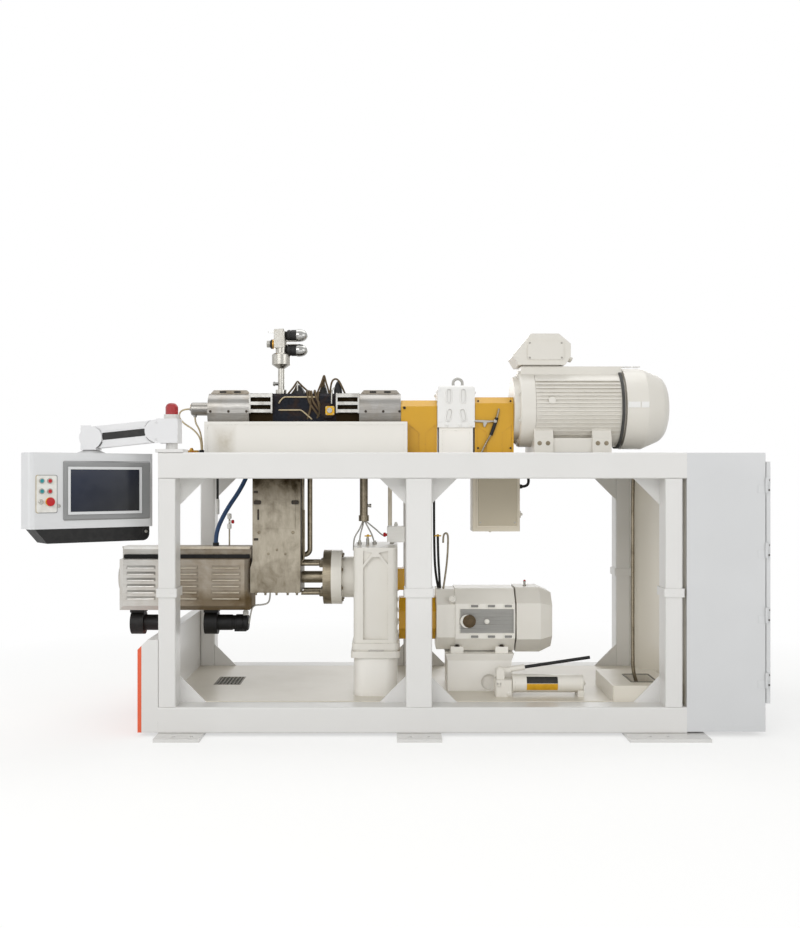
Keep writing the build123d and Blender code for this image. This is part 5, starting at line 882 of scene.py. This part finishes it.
# Rolled lips of the shroud's louvres, painted bright as a highlight
tubes("louvre_lips", lip_highlight_stainless, 4.5, [
    level(y, (x + 6, z), (x + 89, z), (x + 172, z))
    for x in (-1826, -1560, -1294) for z in [LOUVRE_TOP - LOUVRE_PITCH * row for row in range(6)]
    for y, _ in sides(181)])

# Blowers under the shroud
build("blower_end_housing", black_nylon, [
    (turned, (-1186, -100, 575), RIGHT, [(46, 0), (46, 20), (52, 22), (52, 66), (47, 68), (47, 74),
                                         (52, 76), (52, 96), (44, 102)], 40),
    (slab, (-1136, -100, 520), UP, rounded(76, 60, 8), 0, 20)])
build("blower_terminal_cap", white_plastic, [
    (slab, (-1104, -100, 585), UP, rounded(34, 40, 10), 36, 62),
    (turned, (-1104, -100, 646), UP, [(13, 0), (13, 8), (9, 12)], 24)], edge=1.5)

# Extruder gearbox and what stands on it
tubes("oil_lines", zinc_plate, 4.5, [
    [(-346, -100, 1226), (-352, -105, 1195), (-366, -118, 1150), (-372, -120, 1110),
     (-372, -120, 1076)],
    [(-340, -100, 1226), (-322, -112, 1190), (-286, -130, 1128), (-276, -135, 1076)],
    [(-334, -100, 1226), (-310, -100, 1205), (-262, -118, 1168), (-236, -130, 1142),
     (-215, -140, 1132)],
    level(-100, (-352, 1226), (-368, 1180), (-398, 1136), (-412, 1100), (-412, 1036))])
build("oil_line_fittings", zinc_plate, [
    *[(turned, (x, y, 1076), UP, [(14, 0), (14, 14), (9, 16), (9, 26)], 6)
      for x, y in ((-372, -120), (-276, -135))],
    (turned, (-320, -100, 1324), RIGHT, [(9, -8), (9, 10), (12, 10), (12, 22)], 20),
    (turned, (-320, -150, 1076), UP, [(10, 0), (10, 40), (7, 42), (7, 52)], 20)])
build("valve_handles", yellow_plastic, [
    shape for x, y in ((-318, -150), (128, -130)) for shape in (
        (slab, (x, y, 1128), UP, rounded(44, 16, 7), 0, 8),
        (turned, (x, y, 1134), UP, [(9, 0), (7, 8)], 20))], edge=1.5)
build("red_caps", red_plastic, [
    (turned, (-196, -150, 1140), LEFT, [(9, -2), (9, 8), (14, 10), (14, 20), (10, 25)], 24),
    (turned, (159, -180, 768), UP, [(12, -4), (12, 8), (8, 13)], 20),
    (turned, (686, -100, 840), UP, [(7, -3), (7, 5), (4, 8)], 20)])
build("sensor_box_fittings", white_plastic, [
    (turned, (-140, -145, 1194), UP, [(12, -1), (12, 14), (8, 18), (8, 26)], 20),
    (turned, (-164, -145, 1094), DOWN, [(14, -1), (14, 10), (10, 14)], 20)])
build("gearbox_case_bolts", casting_enamel, [
    (hex_bolt, (-131, y, z), RIGHT, 16, 10) for z in (760, 700, 620, 560) for y in (-436, 136)])
build("input_shaft_guard", guard_enamel, [
    (slab, (-131, -100, 856), RIGHT, rounded(130, 136, 10), -1, 46)], edge=2)
build("gearbox_bare_plate", zinc_plate, [
    (slab, (-262, -456, 451), FRONT, rounded(92, 9, 3), -8, 5)])

# Lines at the middle post
tubes("middle_post_black_lines", black_nylon, 8, [
    [(104, -110, DECK_UNDER), (104, -110, 1400), (106, -110, 1000), (118, -112, 860),
     (132, -112, 798)],
    level(-130, (128, 1130), (130, 1000), (138, 880), (142, 790))])
tubes("motor_grease_line", shaft_steel, 6, [
    level(-180, (160, 1090), (160, 1136), (172, 1152), (188, 1150), (192, 1110), (186, 980),
          (170, 860), (159, 790), (159, 766))])

# Lower motor
build("lower_motor_vent_cap", brown_jacket, [
    (turned, (317, -297, DRIVE_Z), FRONT, [(41, -2), (41, 8), (38, 10)], 40)])
build("lower_motor_nuts", lower_motor_enamel, [
    (turned, (427, -289, DRIVE_Z - 2), FRONT,
     [(17, -2), (17, 10), (12, 12), (12, 17), (7, 20)], 24),
    (turned, (212, -290, 748), (0, -0.85, 0.5),
     [(24, -14), (24, 4), (19, 6), (15, 6), (14, 1)])])
build("lower_motor_slots", grey_plastic, [
    (slab, (x, y, z), way, rounded(46, 15, 4), -1, 1)
    for x in (350, 455, 560) for z in (DRIVE_Z - 95, DRIVE_Z + 95) for y, way in sides(205)])
build("lower_motor_lifting_bolt", zinc_plate, [
    (turned, (686, -100, 811), UP,
     [(12, -2), (12, 5), (7, 7), (7, 24), (10, 26), (10, 30), (0, 31)], 24)])
build("lower_motor_foot_bolts", black_screw, [
    (hex_bolt, (x, y, 445), UP, 18, 12) for x in (243, 523) for y in (-255, 55)])

# Junction box under the deck
build("junction_box_gland", black_nylon, [
    (turned, (645, -100, 1447), RIGHT, [(18, -1), (18, 12), (13, 15), (13, 26)], 24)])
tubes("junction_box_lead", black_nylon, 9, [
    level(-100, (668, 1447), (700, 1447), (716, 1480), (700, 1540), (676, 1590),
          (676, DECK_UNDER))])
build("junction_box_latch", casting_enamel, [
    (slab, (645, -150, 1270), RIGHT, rounded(26, 44, 5), -1, 10),
    (turned, (655, -150, 1270), RIGHT, [(9, -1), (9, 8), (6, 12)], 20),
    (turned, (458, -170, 1163), DOWN, [(8, -1), (8, 6)], 20)], edge=1)
# The door's darker coat is painted shadow of the deck
build("junction_box_door", junction_door_shadowed_coat, [
    (slab, (503, -206, 1419), FRONT, rounded(246, 436, 5), -1, 4)], edge=1.5)
build("junction_box_screws", zinc_plate, [
    (cap_screw, (x, -210, z), FRONT, 6, 3) for z in (1220, 1575) for x in (393, 612)])

# Conduit at the right, down into its trough in the pan
tubes("trough_conduit", shaft_steel, 11, [
    [(1346, -372, DECK_UNDER), (1334, -372, 1590), (1320, -372, 1500), (1320, -372, 1000),
     (1320, -372, 420), (1322, -370, 300), (1350, -366, 226)]])
build("trough_rim", grate_zinc, [
    (hoop, (*TROUGH, 267.4), UP, rounded(168, 268, 6), rounded(146, 247, 4), -0.5, 3)], edge=0.8)
build("trough_floor", shaft_steel, [
    (slab, (*TROUGH, PAN_TOP), UP, rounded(150, 250, 4), 44, 48)])

# Screws of the cabinet's hinges, on the doors' folded edges
for door, y, way in (("cabinet_door_front", -757, FRONT), ("cabinet_door_back", 757, BACK)):
    build(door + "_screws", black_screw, [
        (cap_screw, (2027, y, FIRST_HINGE_Z + HINGE_PITCH * number + rise), way, 5, 3)
        for number in range(4) for rise in (-29, 29)], body=door)

# Arm: its label is a bare dark inlay, which leans with it
build("arm_bare_inlay", label_black, [
    (slab, (-1729, -736, 1757), FRONT, rounded(250, 42, 6), -2, 1, 6)], body="arm")
build("arm_base_screws", arm_coat, [
    (cap_screw, (-1538, -751, z), FRONT, 7, 4) for z in (1826, 1727)], body="arm_base")


# Operator panel

def on_panel(maker, along, rise, *how):
    """A shape that stands on the panel's face, at a place on it."""
    return (maker, PANEL_MIDDLE + PANEL_ALONG * along + Vector((0, 0, rise)), PANEL_OUT, *how)


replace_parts(build("teal_buttons", teal_plastic, [
    on_panel(turned, -306, rise, BUTTON_TOP) for rise in BUTTON_RISES], "panel"), "panel_buttons")
build("red_buttons", red_plastic, [
    *[on_panel(turned, -260, rise, BUTTON_TOP) for rise in BUTTON_RISES],
    on_panel(turned, *STOP, [(14, 8), (15, 12), (24, 15), (25, 18), (23, 22), (15, 24)], 36)],
    "panel")
build("button_rings", zinc_plate, [
    *[on_panel(turned, along, rise, [(16, 2), (16, 8), (14.5, 10), (11.5, 10), (11.5, 6)])
      for rise in BUTTON_RISES for along in (-306, -260)],
    on_panel(turned, *KEY, [(14, 2), (14, 8), (12, 10), (6, 10), (5, 7)]),
    on_panel(slab, *KEY, rounded(6, 20, 2), 7, 12),
    on_panel(turned, -208, -86, [(10, -1), (10, 4), (8, 6), (4, 6), (3, 4)], 24)], "panel")
build("stop_collar", yellow_plastic, [
    on_panel(turned, *STOP, [(25, 2.5), (25, 5), (22, 8)], 36)], "panel")
build("screen_frame", panel_coat, [
    on_panel(hoop, 68, 0, rounded(450, 275, 4), rounded(419, 244, 2), 5, 8.5)], "panel")
build("button_field", beige_jacket, [
    on_panel(slab, *BUTTON_FIELD, rounded(124, 216, 12), -1, 2.6)], "panel")
build("button_field_plate", white_plastic, [
    on_panel(slab, *BUTTON_FIELD, rounded(116, 208, 9), -1, 3)], "panel")
build("tray_knob_boss", black_nylon, [
    on_panel(turned, *TRAY_KNOB, [(24, -6), (24, 6), (21, 9), (12, 9), (10, 6)])],
    "panel", edge=0.8)
build("tray_knob_pin", zinc_plate, [
    on_panel(turned, *TRAY_KNOB, [(9, 4), (9, 11), (7, 12)], 24)], "panel")

# Hand pump: a bare two-tone band where the real one has a sticker, and its cap nuts
for name, finish, first, last in (("pump_band_dark", label_black, 8, 54),
                                  ("pump_band_yellow", label_yellow, -38, 6)):
    build(name, finish, [(bent, (655, 844), (PUMP_Y, PUMP_Z), (54, 55.8), first, last, 10)])
build("hand_pump_nuts", casting_enamel, [
    *[(hex_bolt, (x, -473, z), FRONT, 15, 9) for x, z in ((546, 188), (486, 245), (486, 258))],
    (turned, (1003, PUMP_Y, PUMP_Z), RIGHT, [(16, -1), (16, 8), (10, 10), (10, 16)], 24)])

# The pan's weld beads show as thin raised lines along the front rail
for side, x0, x1 in (("left", -1420, -90), ("right", 74, 1418)):
    tubes("pan_weld_bead_" + side, pan_enamel, 4, [
        [(x, -609, PAN_TOP + 1) for x in (x0, (x0 + x1) / 2, x1)]])


# Floor and light

def studio():
    """A pale floor that keeps the plant's shadow, and soft light from above and in front."""
    shape = bmesh.new()
    bmesh.ops.create_grid(shape, x_segments=4, y_segments=4, size=30)
    mesh = bpy.data.meshes.new("studio_floor")
    shape.to_mesh(mesh)
    shape.free()
    floor = bpy.data.objects.new("studio_floor", mesh)
    floor.location.z = -0.0005
    bpy.context.scene.collection.objects.link(floor)
    finish = bpy.data.materials.new("studio_floor_paint")
    finish.use_nodes = True
    tree = finish.node_tree
    tree.nodes.clear()
    path = add(tree, "LightPath")
    seen = add(tree, "Math", {0: path.outputs["Is Camera Ray"], 1: path.outputs["Is Glossy Ray"]},
               operation="MAXIMUM")
    paint = add(tree, "BsdfDiffuse", {"Color": linear("#AEAEAC")})
    glow = add(tree, "Emission", {"Color": (1, 1, 1, 1), "Strength": 0.6})
    both = add(tree, "AddShader", {0: paint, 1: glow})
    near = add(tree, "TexCoord").outputs["Object"]
    distance = add(tree, "VectorMath", {0: near}, operation="LENGTH").outputs["Value"]
    fade = add(tree, "MapRange", {"Value": distance, "From Min": 2.6, "From Max": 4.5})
    white = add(tree, "Emission", {"Color": (1, 1, 1, 1), "Strength": 1.0})
    both = add(tree, "MixShader", {0: fade, 1: both, 2: white})
    bounce = add(tree, "BsdfDiffuse", {"Color": linear("#E6E6E4")})
    mixed = add(tree, "MixShader", {0: seen, 1: bounce, 2: both})
    add(tree, "OutputMaterial", {"Surface": mixed})
    mesh.materials.append(finish)

    world = bpy.data.worlds.new("studio")
    bpy.context.scene.world = world
    world.use_nodes = True
    tree = world.node_tree
    tree.nodes.clear()
    path = add(tree, "LightPath")
    seen = path.outputs["Is Camera Ray"]
    for ray in ("Is Transmission Ray", "Is Glossy Ray"):
        seen = add(tree, "Math", {0: seen, 1: path.outputs[ray]}, operation="MAXIMUM")
    strength = add(tree, "MapRange", {"Value": seen, "To Min": 0.45, "To Max": 1.0})
    backdrop = add(tree, "Background", {"Color": (1, 1, 1, 1), "Strength": strength})
    add(tree, "OutputWorld", {"Surface": backdrop})

    for name, at, aim, size, power in (
        ("key_softbox", (-3.5, -6.5, 4.6), (0, 0, 1.2), (5.0, 3.0), 172),
        ("fill_softbox", (5.0, -5.5, 3.0), (0.3, 0, 1.0), (4.0, 3.0), 78),
        ("low_softbox", (0.4, -6.5, 0.7), (0.3, 0, 0.8), (5.0, 1.4), 36),
        ("left_softbox", (-6.0, -1.5, 1.6), (0, 0, 1.0), (3.0, 2.0), 30),
        ("top_softbox", (0.0, 0.5, 5.5), (0, 0, 1.0), (5.0, 3.0), 90),
        ("back_softbox", (1.5, 6.5, 4.0), (0, 0, 1.0), (5.0, 3.0), 105),
    ):
        lamp = bpy.data.lights.new(name, "AREA")
        lamp.shape = "RECTANGLE"
        lamp.size, lamp.size_y = size
        lamp.energy = power
        held = bpy.data.objects.new(name, lamp)
        held.location = at
        held.rotation_euler = (Vector(aim) - Vector(at)).to_track_quat("-Z", "Y").to_euler()
        bpy.context.scene.collection.objects.link(held)


studio()
bpy.context.scene.view_settings.view_transform = "Standard"
